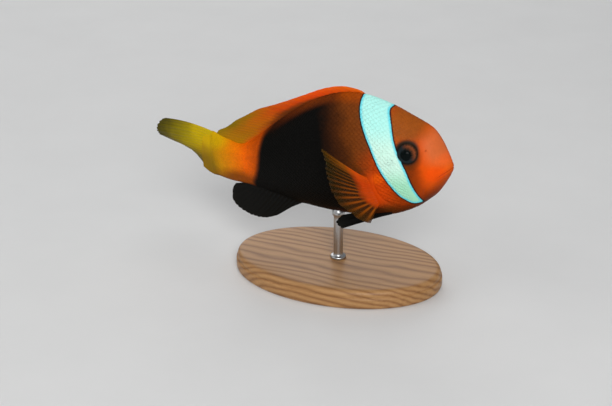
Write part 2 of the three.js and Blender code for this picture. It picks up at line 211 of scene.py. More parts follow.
# Relief of the head: every place is [distance behind the snout, height], and sizes are millimetres.
# "ends" says over which shares of a line's length it fades in and out.
headForm = {
    "eye": {"back": 12.3, "side": 5.5, "up": 5.9, "radius": 3.55, "depth": 2.5, "forward": 8.0,
            "upward": 5.0},
    "orbit": {"open": 2.66, "edge": 3.10, "drop": 2.6, "rimAt": 3.46, "rimWidth": 0.34, "rimHeight": 0.14},
    "mouth": {"start": -0.1, "slope": 0.53, "cornerAt": 3.6, "slit": 0.10, "depth": 0.34,
              "slitEnd": (-0.9, 0.2), "lipAt": 0.62, "lipWidth": 0.46, "lipHeight": 0.13, "tipHeight": 0.02,
              "lipGrows": (0.1, 1.4), "lowerLip": 1.15, "lipEnd": (-0.6, 1.6), "foldAt": 1.38,
              "foldWidth": 0.26, "foldDepth": 0.06, "foldDrift": 0.12, "lowerFold": 0.8},
    "nostril": {"back": 6.7, "up": 6.6, "radius": 0.30, "depth": 0.30, "rim": 0.08, "rimAt": 1.75,
                "rimWidth": 0.45},
    "gillEdge": rounded([(17.2, 6.6), (19.9, 6.1), (21.9, 3.2), (22.7, -1.2), (22.2, -5.6), (20.0, -9.9),
                         (16.4, -12.6), (12.4, -12.9), (9.0, -11.6)]),
    "gillPlate": {"ends": (0.06, 0.93), "proud": 0.14, "slopes": (-2.6, -0.2), "thinned": 0.03,
                  "thinWidth": 0.5, "crease": 0.15, "creaseAt": 0.16, "creaseFront": 0.12, "creaseRear": 0.3},
    "grooves": [
        {"line": rounded([(15.6, 4.6), (16.7, 1.0), (16.9, -3.4), (16.2, -7.0), (13.9, -9.2), (10.2, -9.0),
                          (8.2, -7.4)]), "ends": (0.1, 0.86), "depth": 0.06, "width": 0.24,
         "teeth": (0.85, 0.25, 150), "lip": (0.03, 0.55, 0.45)},  # rear edge of the cheek bone
        {"line": rounded([(14.6, 1.6), (11.8, 0.9), (9.2, 0.4), (7.4, -1.4), (5.8, -2.6)]),
         "ends": (0.15, 0.85), "depth": 0.07, "width": 0.22, "teeth": (0.8, 0.3, 70)},  # bone under the eye
        {"line": rounded([(16.6, 1.4), (18.6, -0.6), (20.4, -4.6), (20.9, -6.6)]), "ends": (0.2, 0.8),
         "depth": 0.06, "width": 0.25, "teeth": (1, 0, 0)},  # seam between the gill plates
        {"line": rounded([(5.0, -2.9), (7.4, -5.0), (8.6, -7.6), (8.4, -9.8)]), "ends": (0.2, 0.8),
         "depth": 0.12, "width": 0.4, "teeth": (1, 0, 0)},  # rear of the lower jaw
    ],
    "pores": [(7.6, 2.9), (8.3, 1.0), (10.1, -0.4), (12.5, -0.8), (14.9, 0.2), (5.4, -5.4), (6.9, -7.2),
              (8.8, -9.1), (11.6, -10.3), (14.6, -9.9), (17.0, -7.6), (9.2, 9.9), (12.9, 10.6), (5.2, 8.3)],
    "poreRadius": 0.17,
    "poreDepth": 0.14,
    "swells": [  # height, distance behind the snout, height of its middle, stretch, width
        (0.25, 13.4, -3.6, 1.0, 3.2),  # muscle of the cheek
        (0.16, 11.6, 10.4, 1.6, 1.5),  # brow
        (-0.18, 7.4, 4.6, 1.0, 1.7),  # hollow before the eye
    ],
}
# Low ridges of flesh that the fins stand in: on the back, on the belly and round the pectoral fins' feet.
sheathForm = {
    "back": {"height": 0.35, "width": 1.3, "begins": (24, 30), "ends": (64, 71)},
    "belly": {"height": 0.3, "width": 1.2, "begins": (48, 52), "ends": (65, 70)},
    "pectoral": {"height": 0.75, "width": 2.4, "foot": [(23.7, -1.2), (22.2, -10.4)]},
}
eyeAxes = {}
for sideName, side in bothSides:
    eye = headForm["eye"]
    turnUp = Matrix.Rotation(side * math.radians(eye["upward"]), 3, "X")
    turnAhead = Matrix.Rotation(-side * math.radians(eye["forward"]), 3, "Z")
    eyeAxes[side] = np.array(turnAhead @ turnUp)


# How far a place is from an eye's axis, and the direction of that axis.
def fromEye(points):
    eye = headForm["eye"]
    side = np.where(points[..., 1] < 0, -1, 1)
    far = np.full(side.shape, 1e3)
    outward = np.zeros(points.shape)
    for sign in (-1, 1):
        centre = np.array([-eye["back"], sign * eye["side"], eye["up"]])
        local = (points - centre) @ eyeAxes[sign]
        mine = side == sign
        far = np.where(mine, np.hypot(local[..., 0], local[..., 2]), far)
        outward = np.where(mine[..., None], eyeAxes[sign][:, 1] * sign, outward)
    return far, outward


def mouthDistance(back, up):
    mouth = headForm["mouth"]
    line = mouth["start"] - mouth["slope"] * np.clip(back, 0, 8)
    return (up - line) / math.hypot(1, mouth["slope"])


def plainNormal(back, turn, base):
    small = 0.02
    safeBack = np.maximum(back, 0.03)  # stays clear of the snout's tip
    alongStep = bodyPoint(safeBack + small, turn) - bodyPoint(safeBack - small, turn)
    roundStep = bodyPoint(safeBack, turn + small) - bodyPoint(safeBack, turn - small)
    normal = unit(np.cross(alongStep, roundStep))
    outwards = base * np.array([0.0, 1.0, 1.0]) + np.array([1.0, 0.0, 0.0]) * (back < 1)[..., None]
    return np.where(((normal * outwards).sum(-1) < 0)[..., None], -normal, normal)


def mouthRelief(back, up):
    mouth = headForm["mouth"]
    gap = mouthDistance(back, up)
    slitReach, lipReach = (
        1 - smoothStep(back, mouth["cornerAt"] + low, mouth["cornerAt"] + high)
        for low, high in (mouth["slitEnd"], mouth["lipEnd"])
    )
    growth = smoothStep(back, *mouth["lipGrows"])
    lipHeight = mouth["tipHeight"] + (mouth["lipHeight"] - mouth["tipHeight"]) * growth
    upperLip = bell(gap - mouth["lipAt"], mouth["lipWidth"])
    lowerLip = mouth["lowerLip"] * bell(gap + mouth["lipAt"], mouth["lipWidth"])
    upperFold = bell(gap - mouth["foldAt"] - mouth["foldDrift"] * back, mouth["foldWidth"])
    lowerFold = mouth["lowerFold"] * bell(gap + mouth["foldAt"], mouth["foldWidth"])
    lips = lipHeight * (upperLip + lowerLip) - mouth["foldDepth"] * (upperFold + lowerFold)
    return lipReach * lips - slitReach * mouth["depth"] * bell(gap, mouth["slit"])


def fadedEnds(along, ends):
    return smoothStep(along, 0.0, ends[0]) * (1 - smoothStep(along, ends[1], 1.0))


# Nostrils, pores, gill covers, grooves and swells, which the head has on both its sides.
def sideRelief(back, up):
    nostril = headForm["nostril"]
    off = np.hypot(back - nostril["back"], up - nostril["up"])
    raised = -nostril["depth"] * bell(off, nostril["radius"])
    rimOff = off - nostril["rimAt"] * nostril["radius"]
    raised = raised + nostril["rim"] * bell(rimOff, nostril["rimWidth"] * nostril["radius"])
    for poreBack, poreUp in headForm["pores"]:
        off = np.hypot(back - poreBack, up - poreUp)
        raised = raised - headForm["poreDepth"] * bell(off, headForm["poreRadius"])

    # A gill cover is a plate: a little proud inside its edge, with a crease behind it.
    plate = headForm["gillPlate"]
    off, along, side = lineDistance(back, up, headForm["gillEdge"])
    behind = off * np.where(side > 0, 1, -1)
    proud = plate["proud"] * smoothStep(behind, *plate["slopes"]) * (behind < 0)
    creaseWidth = np.where(behind > 0, plate["creaseRear"], plate["creaseFront"])
    crease = plate["crease"] * bell(behind - plate["creaseAt"], creaseWidth)
    thinned = plate["thinned"] * bell(off, plate["thinWidth"])
    raised = raised + fadedEnds(along, plate["ends"]) * (proud - thinned - crease)

    for groove in headForm["grooves"]:
        off, along, side = lineDistance(back, up, groove["line"])
        level, swing, waves = groove["teeth"]
        cut = groove["depth"] * bell(off, groove["width"]) * (level + swing * np.sin(along * waves))
        if "lip" in groove:
            height, lipAt, width = groove["lip"]
            cut = cut - height * bell(np.where(side > 0, 9.0, off) - lipAt, width)
        raised = raised - fadedEnds(along, groove["ends"]) * cut

    for height, swellBack, swellUp, stretch, width in headForm["swells"]:
        raised = raised + height * bell(np.hypot((back - swellBack) / stretch, up - swellUp), width)
    return raised


def sheathRelief(back, up, wide, onSide):
    raised = np.zeros(np.shape(up))
    for form, above in ((sheathForm["back"], up > 0), (sheathForm["belly"], up < 0)):
        reach = smoothStep(back, *form["begins"]) * (1 - smoothStep(back, *form["ends"]))
        raised = raised + form["height"] * bell(wide, form["width"]) * above * reach
    form = sheathForm["pectoral"]
    off = lineDistance(back, up, form["foot"])[0]
    return raised + form["height"] * onSide * bell(off, form["width"])


# The finished surface: folds, lips, pits and sockets on the plain form. Returns points and outward normals.
def skinPoint(back, turn):
    base = bodyPoint(back, turn)
    normal = plainNormal(back, turn, base)
    up = base[..., 2]
    wide = np.abs(base[..., 1])
    onSide = smoothStep(wide, 1.2, 3.0)
    raised = mouthRelief(back, up) + onSide * sideRelief(back, up) + sheathRelief(back, up, wide, onSide)
    points = base + normal * raised[..., None]
    # An eye's socket goes straight in along the eye's axis.
    far, outward = fromEye(base)
    orbit = headForm["orbit"]
    drop = orbit["drop"] * (1 - smoothStep(far, orbit["open"], orbit["edge"]))
    rim = orbit["rimHeight"] * bell(far - orbit["rimAt"], orbit["rimWidth"])
    return points + outward * ((rim - drop) * onSide)[..., None], normal


# Markings: every line is [height, distance behind the snout].
markings = {
    "bandFront": [(-14, 9.0), (-10.7, 9.7), (-7.5, 10.6), (-3.8, 11.6), (0, 12.6), (3.4, 13.8), (7.5, 15.3),
                  (10.6, 16.2), (13.8, 16.9), (16.4, 17.6), (18.4, 18.2), (23, 18.4)],
    "bandRear": [(-14, 10.8), (-10.1, 13.7), (-8.3, 15.4), (-4.8, 17.5), (-0.6, 19.7), (3.5, 21.4),
                 (7.9, 23.0), (11.8, 24.6), (15.3, 25.9), (18.4, 26.7), (21.0, 26.9), (23, 26.4)],
    "bandFoot": -11.1,
    "bandCorners": (0.5, 0.9),  # how softly its edges meet at the nape and at the foot
    "nape": {"reach": 0.9, "width": 1.4, "heights": (15, 18)},  # where the band draws in over the back
    "mouthEnd": (3.4, 4.8),
    "flankRear": [(-18, 68.0), (-7.9, 66.3), (-4.5, 64.5), (-0.7, 63.0), (4.4, 61.9), (7.5, 61.3),
                  (9.4, 60.3), (10.7, 59.1), (12.4, 57.5), (14.2, 55.4), (18.4, 49.0), (21.4, 43.0),
                  (23.5, 38.0)],
    "keelDark": {"height": 1.5, "from": 48.0, "fades": (64, 70.5)},
    "flankFront": [(-18, 24.0), (-12, 25.5), (-6, 29.5), (0, 32.0), (8, 33.5), (16, 35.0), (24, 38.0)],
}
bandFrontAt = smoothThrough(markings["bandFront"])
bandRearAt = smoothThrough(markings["bandRear"])
flankRearAt = smoothThrough(markings["flankRear"])
flankFrontAt = smoothThrough(markings["flankFront"])


# Distance behind an edge, taken square to it.
def across(edgeAt, back, up):
    step = 0.2
    lean = (edgeAt(up + step) - edgeAt(up - step)) / (2 * step)
    return (back - edgeAt(up)) / np.sqrt(1 + lean * lean)


def softMin(a, b, width):
    h = np.clip(0.5 + 0.5 * (b - a) / width, 0, 1)
    return b + (a - b) * h - width * h * (1 - h)


# Distances in millimetres that the markings are made from.
# Those of the band and the flank are positive inside.
def markingFields(points):
    back = -points[..., 0]
    up = points[..., 2]
    nape = markings["nape"]
    napeReach = nape["reach"] * bell(points[..., 1], nape["width"]) * smoothStep(up, *nape["heights"])
    front = across(bandFrontAt, back, up) + napeReach
    rear = -across(bandRearAt, back, up)
    topCorner, footCorner = markings["bandCorners"]
    band = softMin(softMin(front, rear, topCorner), up - markings["bandFoot"], footCorner)
    flank = -across(flankRearAt, back, up)
    bellyGap = up + bellyAt(back)
    keel = markings["keelDark"]
    keelEdge = keel["height"] * (1 - smoothStep(back, *keel["fades"])) - bellyGap
    flank = np.maximum(flank, np.minimum(keelEdge, back - keel["from"]))
    return {
        "bandEdge": band,
        "flankEdge": flank,
        "flankFade": back - flankFrontAt(up),
        "bellyGap": bellyGap,
        "ridgeGap": backAt(back) - up,
        "eyeRing": fromEye(points)[0],
        "nostril": np.hypot(back - headForm["nostril"]["back"], up - headForm["nostril"]["up"]),
        "mouthLine": np.abs(mouthDistance(back, up)) + 3.0 * smoothStep(back, *markings["mouthEnd"]),
    }

# Makes a piece of the model with its fields, and gives it its body and slot; the nodes it stands for are
# hidden.
def makePiece(name, points, faces, material, stood=(), fields=None, patchMap=None):
    mesh = bpy.data.meshes.new(name)
    flat = np.concatenate([np.asarray(f, np.int32).ravel() for f in faces])
    sizes = np.concatenate([np.full(len(f), np.shape(f)[1], np.int32) for f in faces])
    mesh.vertices.add(len(points))
    mesh.vertices.foreach_set("co", np.ascontiguousarray(points, np.float32).ravel())
    mesh.loops.add(len(flat))
    mesh.loops.foreach_set("vertex_index", flat)
    mesh.polygons.add(len(sizes))
    mesh.polygons.foreach_set("loop_start", np.concatenate([[0], np.cumsum(sizes)[:-1]]).astype(np.int32))
    mesh.polygons.foreach_set("use_smooth", np.ones(len(sizes), bool))
    for key, values in (fields or {}).items():
        vector = np.ndim(values) == 2
        layer = mesh.attributes.new(key, "FLOAT_VECTOR" if vector else "FLOAT", "POINT")
        layer.data.foreach_set("vector" if vector else "value", np.asarray(values, np.float32).ravel())
    if patchMap is not None:
        perCorner = patchMap if len(patchMap) == len(flat) else patchMap[flat]
        mesh.uv_layers.new(name="OFBake").data.foreach_set("uv", np.asarray(perCorner, np.float32).ravel())
    mesh.update(calc_edges=True)
    mesh.materials.append(material)
    piece = bpy.data.objects.new(name, mesh)
    bpy.context.scene.collection.objects.link(piece)
    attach(piece, "root")
    if stood:
        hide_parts(*stood)
    print("made", name, len(sizes), "faces")


def gridFaces(rows, columns, closed=False):
    i, j = np.meshgrid(np.arange(rows - 1), np.arange(columns if closed else columns - 1), indexing="ij")
    k = (j + 1) % columns
    quad = [i * columns + j, i * columns + k, (i + 1) * columns + k, (i + 1) * columns + j]
    return np.stack(quad, -1).reshape(-1, 4)


# Faces that join the edge of a grid of points to the edge of its copy, which comes after it.
def rimFaces(rows, columns):
    grid = np.arange(rows * columns).reshape(rows, columns)
    loop = np.concatenate([grid[:, 0], grid[-1, 1:], grid[-2::-1, -1], grid[0, -2:0:-1]])
    after = np.roll(loop, -1)
    return np.stack([loop, after, after + grid.size, loop + grid.size], -1)


def isSocket(value):
    return isinstance(value, bpy.types.NodeSocket)


def feed(socket, value):
    if isSocket(value):
        socket.id_data.links.new(value, socket)
    elif socket.type == "RGBA" and len(value) == 3:
        socket.default_value = (*value, 1.0)
    else:
        socket.default_value = value


def feedAll(sockets, values):
    for key, value in values.items():
        feed(sockets[key], value)


def addNode(tree, kind, values=None, **settings):
    made = tree.nodes.new(kind)
    for key, value in settings.items():
        setattr(made, key, value)
    feedAll(made.inputs, values or {})
    return made


# These helpers place their node in the tree that the values given to them come from.
def maths(operation, *values):
    tree = next(value.id_data for value in values if isSocket(value))
    return addNode(tree, "ShaderNodeMath", dict(enumerate(values)), operation=operation).outputs[0]


def times(first, *others):
    for other in others:
        first = maths("MULTIPLY", first, other)
    return first


def plus(a, b):
    return maths("ADD", a, b)


def minus(a, b):
    return maths("SUBTRACT", a, b)


def timesPlus(value, factor, shift):
    return maths("MULTIPLY_ADD", value, factor, shift)


def between(value, low, high, toLow=0.0, toHigh=1.0):
    values = {"Value": value, "From Min": low, "From Max": high, "To Min": toLow, "To Max": toHigh}
    return addNode(value.id_data, "ShaderNodeMapRange", values, interpolation_type="SMOOTHSTEP").outputs[0]


def mixed(factor, a, b, blend="MIX"):
    values = {0: factor, 6: a, 7: b}
    return addNode(factor.id_data, "ShaderNodeMix", values, data_type="RGBA", blend_type=blend).outputs[2]


def mixedValue(factor, a, b):
    return addNode(factor.id_data, "ShaderNodeMix", {0: factor, 2: a, 3: b}, clamp_result=True).outputs[0]


def brightened(colour, factor):
    values = {0: colour, 3: factor}
    return addNode(colour.id_data, "ShaderNodeVectorMath", values, operation="SCALE").outputs[0]


def axes(vector):
    return addNode(vector.id_data, "ShaderNodeSeparateXYZ", {0: vector}).outputs


# A colour or a plain value, by its stops.
def ramp(factor, stops):
    made = addNode(factor.id_data, "ShaderNodeValToRGB", {"Fac": factor})
    elements = made.color_ramp.elements
    while len(elements) < len(stops):
        elements.new(0.5)
    for element, (position, tone) in zip(elements, stops):
        element.position = position
        element.color = (*(tone if isinstance(tone, tuple) else [tone] * 3), 1.0)
    return made.outputs["Color"]


def attribute(tree, name, output="Fac"):
    return addNode(tree, "ShaderNodeAttribute", attribute_name=name).outputs[output]


def noise(place, scale, detail=4.0, roughness=0.55, stretch=None):
    if stretch:
        place = addNode(place.id_data, "ShaderNodeMapping", {"Vector": place, "Scale": stretch}).outputs[0]
    values = {"Vector": place, "Scale": scale, "Detail": detail, "Roughness": roughness}
    return addNode(place.id_data, "ShaderNodeTexNoise", values).outputs["Fac"]


def bumpUp(shader, height, strength, distance):
    values = {"Height": height, "Strength": strength, "Distance": distance}
    feed(shader.inputs["Normal"], addNode(height.id_data, "ShaderNodeBump", values).outputs[0])


def newGroup(name, inputs, outputs):
    group = bpy.data.node_groups.new(name, "ShaderNodeTree")
    for inOut, sockets in (("INPUT", inputs), ("OUTPUT", outputs)):
        for label, kind, value in sockets:
            socket = group.interface.new_socket(label, in_out=inOut, socket_type="NodeSocket" + kind)
            if value is not None:
                socket.default_value = value
    return group, group.nodes.new("NodeGroupInput").outputs, group.nodes.new("NodeGroupOutput").inputs


def useGroup(tree, group, values):
    return addNode(tree, "ShaderNodeGroup", values, node_tree=group).outputs


def newMaterial(name, constants):
    material = bpy.data.materials.new(name)
    material.use_nodes = True
    shader = material.node_tree.nodes["Principled BSDF"]
    feedAll(shader.inputs, constants)
    return material, material.node_tree, shader


# Fine mottling that every soft surface has: a broad drift, small freckles and a grain to bump with.
def makeSoftGrain():
    group, given, gives = newGroup(
        "softGrain",
        [("Place", "Vector", None), ("Broad Scale", "Float", 0.25), ("Fine Scale", "Float", 2.5)],
        [("Drift", "Float", None), ("Freckle", "Float", None), ("Height", "Float", None)],
    )
    feedAll(gives, {
        "Drift": noise(given["Place"], given["Broad Scale"], 3.0),
        "Freckle": noise(given["Place"], given["Fine Scale"], 5.0, 0.6),
        "Height": noise(given["Place"], 9.0, 3.0, 0.6),
    })
    return group


softGrain = makeSoftGrain()

# The fish's coat of colours, with painted light and shade, shared by the skin and its scales. Each soft patch
# is
# laid over the ones before: [distance behind the snout, height, half length, half height, strength, colour].
coatColours = {
    "along": [(0.0, (0.80, 0.120, 0.010)), (0.05, (0.84, 0.100, 0.003)), (0.13, (0.62, 0.064, 0.001)),
              (0.24, (0.50, 0.050, 0.001)), (0.62, (0.46, 0.046, 0.001)), (0.78, (0.56, 0.080, 0.001)),
              (0.83, (0.98, 0.150, 0.001)), (0.89, (0.86, 0.225, 0.001)), (0.95, (0.68, 0.290, 0.001)),
              (1.0, (0.42, 0.240, 0.001))],
    "patches": [
        # painted sheen: the salmon front of the face
        (3.0, 8.0, 7.0, 9.0, 0.9, (0.68, 0.150, 0.040)),
        (13.0, 14.5, 10.5, 8.8, 1.0, (0.34, 0.080, 0.008)),
        # painted shade below and behind the eye, over the rear of the cheek
        (13.6, -3.8, 7.8, 8.6, 0.95, (0.215, 0.031, 0.001)),
        # painted shade just under the eye
        (11.8, 0.6, 4.6, 2.8, 0.55, (0.18, 0.028, 0.001)),
        # the bright cheek: its own orange, brightened with painted light
        (4.4, -1.0, 4.5, 3.8, 0.8, (0.90, 0.080, 0.001)),
        (26.5, 12.5, 9.0, 11.0, 1.0, (0.215, 0.050, 0.008)),
        (28.5, 18.5, 7.0, 5.5, 0.7, (0.18, 0.048, 0.007)),
        # the snout's tip: its own orange, brightened with painted light
        (1.5, 3.4, 3.2, 2.6, 0.5, (0.96, 0.135, 0.020)),
        (81.0, 5.5, 8.5, 4.5, 0.8, (0.68, 0.420, 0.001)),
        # painted shade on the lower end of the tail stalk, where the tail fin starts
        (84.5, -4.5, 7.5, 7.5, 0.9, (0.24, 0.130, 0.001)),
        # painted shade along the lower edge of the tail stalk
        (71.5, -8.2, 13.5, 6.2, 0.85, (0.22, 0.050, 0.001)),
    ],
    # painted light round the pectoral fin's foot, and a painted highlight along the foot's top
    "paintedLight": [
        (22.0, -5.6, 7.5, 8.5, 1.0, (0.60, 0.056, 0.001)),
        (21.3, -1.6, 2.6, 2.4, 0.6, (0.86, 0.110, 0.001)),
    ],
    "underShade": (0.085, 0.016, 0.001),
    "ridge": (0.37, 0.062, 0.001),
    "darkRidge": (0.17, 0.032, 0.003),
    "brown": (0.160, 0.038, 0.004),
    "black": (0.0022, 0.0021, 0.0016),
    "eyeRing": (0.022, 0.013, 0.007),
    "eyeShadeHalo": (0.10, 0.025, 0.002),
    "nostril": (0.08, 0.018, 0.003),
    "mouth": (0.22, 0.024, 0.002),
    "bandTop": (0.47, 0.95, 0.86),
    "bandMiddle": (0.66, 0.97, 0.82),
    "bandLowShade": (0.41, 0.87, 0.60),
    "bandFringe": (0.10, 0.72, 0.86),
    "bandMark": (0.20, 0.34, 0.28),
    "border": (0.004, 0.006, 0.010),
}
# Where the coat changes: from where it starts to where it is full, and its shares there if not 0 and 1.
coatEdges = {
    "patch": (1.0, 0.3),
    "fade": (-5.8, -0.4, 0.0, 0.58),
    "lateFade": (-3.2, 6.0, 0.0, 0.42),
    "flankEnd": (-1.1, 1.3),
    "brown": (-14.0, -3.0),
    "ridge": (3.2, -0.3),
    "ridgeRear": (-18.0, -6.0),
    "darkRidge": (2.5, 0.0),
    "darkRidgeFront": (62.0, 42.0),
    "underReach": (26.0, 16.0, 3.6, 6.6),
    "underRear": (44.0, 30.0, 0.0, 0.92),
    "underFront": (1.0, 8.0, 0.7, 1.0),
    "socketShadeTop": (5.5, 9.5, 0.0, 0.55),
    "socket": (4.2, 3.0),
    "haloFoot": (5.5, 1.0, 0.0, 0.8),
    "halo": (5.3, 3.4),
    "haloTop": (9.0, 2.0, 0.15, 0.8),
    "nostril": (0.40, 0.16, 0.0, 0.3),
    "mouth": (0.22, 0.04, 0.0, 0.2),
    "borderOuter": (-0.55, -0.25, 0.0, 0.92),
    "borderInner": (0.14, -0.06),
    "bandMiddle": (15.0, 6.0),
    "bandLowShade": (3.0, -5.0),
    "bandFringe": (0.95, 0.15, 0.0, 0.85),
    "band": (-0.1, 0.1),
}
coatVariation = {
    "wander": 7.0, "patchWander": 0.03, "alongWander": 0.3, "fadeWander": 0.8, "endWander": 0.12,
    "bandWander": 0.24, "markPlace": (17.2, 3.6, 2.2, 1.5), "markScale": 1.3, "markStretch": (1.0, 1.0, 1.8),
    "markEdge": (0.50, 0.62, 0.0, 0.55), "drift": 0.4, "fleck": 0.3, "bodyUneven": 0.65, "bandUneven": 0.18,
    "length": 81.5, "underFoot": 0.6,
}


# The markings on skin and scales alike, and painted light and shade, from their places on the straight fish.
def makeCoat():
    colours, edges, variation = coatColours, coatEdges, coatVariation
    group, given, gives = newGroup(
        "coatMarkingsAndPaintedLight",
        [("Tone", "Float", 0.5), ("Tone Strength", "Float", 0.1)],
        [("Color", "Color", None), ("Dark", "Float", None), ("Grain", "Float", None)],
    )
    place = attribute(group, "fishPlace", "Vector")
    grain = useGroup(group, softGrain, {"Place": place, "Broad Scale": 0.22, "Fine Scale": 1.6})
    back, up = axes(place)[0], axes(place)[2]
    wander = timesPlus(grain["Drift"], variation["wander"], -0.5 * variation["wander"])

    def zone(value, name):
        return between(value, *edges[name])

    def field(name):
        return attribute(group, name)

    def softPatch(patchBack, patchUp, halfLength, halfHeight):
        alongOff = maths("DIVIDE", minus(back, patchBack), halfLength)
        upOff = maths("DIVIDE", minus(up, patchUp), halfHeight)
        far = maths("SQRT", plus(times(alongOff, alongOff), times(upOff, upOff)))
        return zone(plus(far, times(wander, variation["patchWander"])), "patch")

    def painted(colour, patches):
        for *spot, strength, tint in patches:
            colour = mixed(times(softPatch(*spot), strength), colour, tint)
        return colour

    backShare = maths("DIVIDE", timesPlus(wander, variation["alongWander"], back), variation["length"])
    orange = painted(ramp(backShare, colours["along"]), colours["patches"])
    flankFade = field("flankFade")
    flankEnd = zone(timesPlus(wander, variation["endWander"], field("flankEdge")), "flankEnd")
    orange = mixed(times(zone(plus(flankFade, wander), "brown"), flankEnd), orange, colours["brown"])
    ridge = times(zone(field("ridgeGap"), "ridge"), zone(flankFade, "ridgeRear"), flankEnd)
    orange = mixed(ridge, orange, colours["ridge"])

    wavyFade = timesPlus(wander, variation["fadeWander"], flankFade)
    dark = times(plus(zone(wavyFade, "fade"), zone(wavyFade, "lateFade")), flankEnd)
    colour = mixed(dark, orange, colours["black"])
    darkRidge = times(zone(field("ridgeGap"), "darkRidge"), zone(back, "darkRidgeFront"), dark)
    # The darker ridge over the dark flank, then painted light round the pectoral fin's foot.
    colour = painted(mixed(darkRidge, colour, colours["darkRidge"]), colours["paintedLight"])

    # Painted shade on the underside of the head and chest, deepest by the belly's edge, fading out from 30 to
    # 44 mm behind the snout.
    under = between(field("bellyGap"), zone(back, "underReach"), variation["underFoot"])
    under = times(under, zone(back, "underRear"), zone(back, "underFront"))
    colour = mixed(under, colour, colours["underShade"])

    # Painted shade round the eye, reaching further below it and faint above it.
    halo = zone(minus(field("eyeRing"), zone(up, "haloFoot")), "halo")
    colour = mixed(times(halo, zone(up, "haloTop")), colour, colours["eyeShadeHalo"])
    # Dark ring in the eye's socket: painted shade, reaching higher above the eye.
    socket = zone(minus(field("eyeRing"), zone(up, "socketShadeTop")), "socket")
    colour = mixed(socket, colour, colours["eyeRing"])
    # Painted shade in the nostril's pit.
    colour = mixed(zone(field("nostril"), "nostril"), colour, colours["nostril"])
    # Painted shade along the mouth's slit.
    colour = mixed(zone(field("mouthLine"), "mouth"), colour, colours["mouth"])

    ragged = timesPlus(grain["Freckle"], variation["bandWander"], -0.5 * variation["bandWander"])
    bandEdge = plus(field("bandEdge"), ragged)
    border = times(zone(bandEdge, "borderOuter"), zone(bandEdge, "borderInner"))
    colour = mixed(border, colour, colours["border"])
    white = mixed(zone(up, "bandMiddle"), colours["bandTop"], colours["bandMiddle"])
    # Painted shade on the band's lower part, which is greener and darker.
    white = mixed(zone(up, "bandLowShade"), white, colours["bandLowShade"])
    markNoise = between(noise(place, variation["markScale"], 3.0, 0.6, variation["markStretch"]), *variation["markEdge"])
    white = mixed(times(softPatch(*variation["markPlace"]), markNoise), white, colours["bandMark"])
    white = mixed(zone(bandEdge, "bandFringe"), white, colours["bandFringe"])
    inBand = zone(bandEdge, "band")
    colour = mixed(inBand, colour, white)

    drift = timesPlus(grain["Drift"], variation["drift"], 1 - 0.5 * variation["drift"])
    fleck = timesPlus(grain["Freckle"], variation["fleck"], 1 - 0.5 * variation["fleck"])
    level = plus(times(drift, fleck), times(minus(given["Tone"], 0.5), given["Tone Strength"]))
    unevenness = mixedValue(inBand, variation["bodyUneven"], variation["bandUneven"])
    level = timesPlus(minus(level, 1.0), unevenness, 1.0)
    feedAll(gives, {"Color": brightened(colour, level), "Dark": dark, "Grain": grain["Height"]})
    return group


coatGroup = makeCoat()
coatFinish = {
    "roughness": 0.50, "grainRough": 0.16, "darkRough": 0.12, "specular": 0.05, "coat": 0.02,
    "coatRoughness": 0.30, "scaleTone": 0.22, "rim": (0.72, 1.0, 0.0, 0.16), "rimSheenColour": (0.95, 0.62, 0.42),
    "comb": 26.0,
    "combDepth": 0.3,
}


def coatedMaterial(name, toneStrength):
    finish = coatFinish
    material, tree, shader = newMaterial(name, {
        "Coat Weight": finish["coat"], "Coat Roughness": finish["coatRoughness"],
        "Specular IOR Level": finish["specular"],
    })
    coat = useGroup(tree, coatGroup, {"Tone": attribute(tree, "scaleTone"), "Tone Strength": toneStrength})
    rough = timesPlus(coat["Grain"], finish["grainRough"], finish["roughness"] - 0.5 * finish["grainRough"])
    feedAll(shader.inputs, {
        "Base Color": coat["Color"], "Roughness": timesPlus(coat["Dark"], finish["darkRough"], rough),
    })
    return material, tree, shader, coat


def makeSkinMaterial():
    material, _, shader, coat = coatedMaterial("fish_skin_finish", 0.0)
    bumpUp(shader, coat["Grain"], 0.35, 0.0001)
    return material


# A scale has a painted sheen on its rim and fine combs that run out to it.
def makeScaleMaterial():
    finish = coatFinish
    material, tree, shader, coat = coatedMaterial("scale_finish", finish["scaleTone"])
    spot = axes(attribute(tree, "scalePlace", "Vector"))
    # Painted sheen: a pale warm tint laid softly over the scale's outer edge.
    rim = between(spot[1], *finish["rim"])
    feed(shader.inputs["Base Color"], mixed(rim, coat["Color"], finish["rimSheenColour"], "SOFT_LIGHT"))
    comb = times(maths("SINE", times(spot[0], finish["comb"])), spot[1])
    bumpUp(shader, timesPlus(comb, finish["combDepth"], coat["Grain"]), 0.3, 0.00006)
    return material


skinMaterial = makeSkinMaterial()
scaleMaterial = makeScaleMaterial()
print("coat finishes made")

# One skin over head, jaw, gill covers, trunk and tail stalk. It is sunk a little where scales lie on it.
skinForm = {
    "noseRows": 100, "headRows": 110, "bodyRows": 100, "tailRows": 12, "headEnd": 25.0, "sides": 288,
    "scaleDepth": 0.09, "nakedFace": 8.6, "nakedCheek": 0.42, "nakedBrow": 0.10, "scalesEnd": (80.5, 82),
    "mapEdge": 0.005,
}


# How far the scales have set in: none on the front of the face and none past the tail stalk.
def scaledness(back, up):
    form = skinForm
    lower = form["nakedCheek"] * np.clip(4.0 - up, 0, 9)
    upper = form["nakedBrow"] * np.clip(up - 8, 0, 9)
    naked = form["nakedFace"] + lower - upper
    return smoothStep(back, naked - 0.6, naked + 0.6) * (1 - smoothStep(back, *form["scalesEnd"]))


def coatFields(places):
    return {**markingFields(places), "fishPlace": places * np.array([-1.0, 1.0, 1.0])}


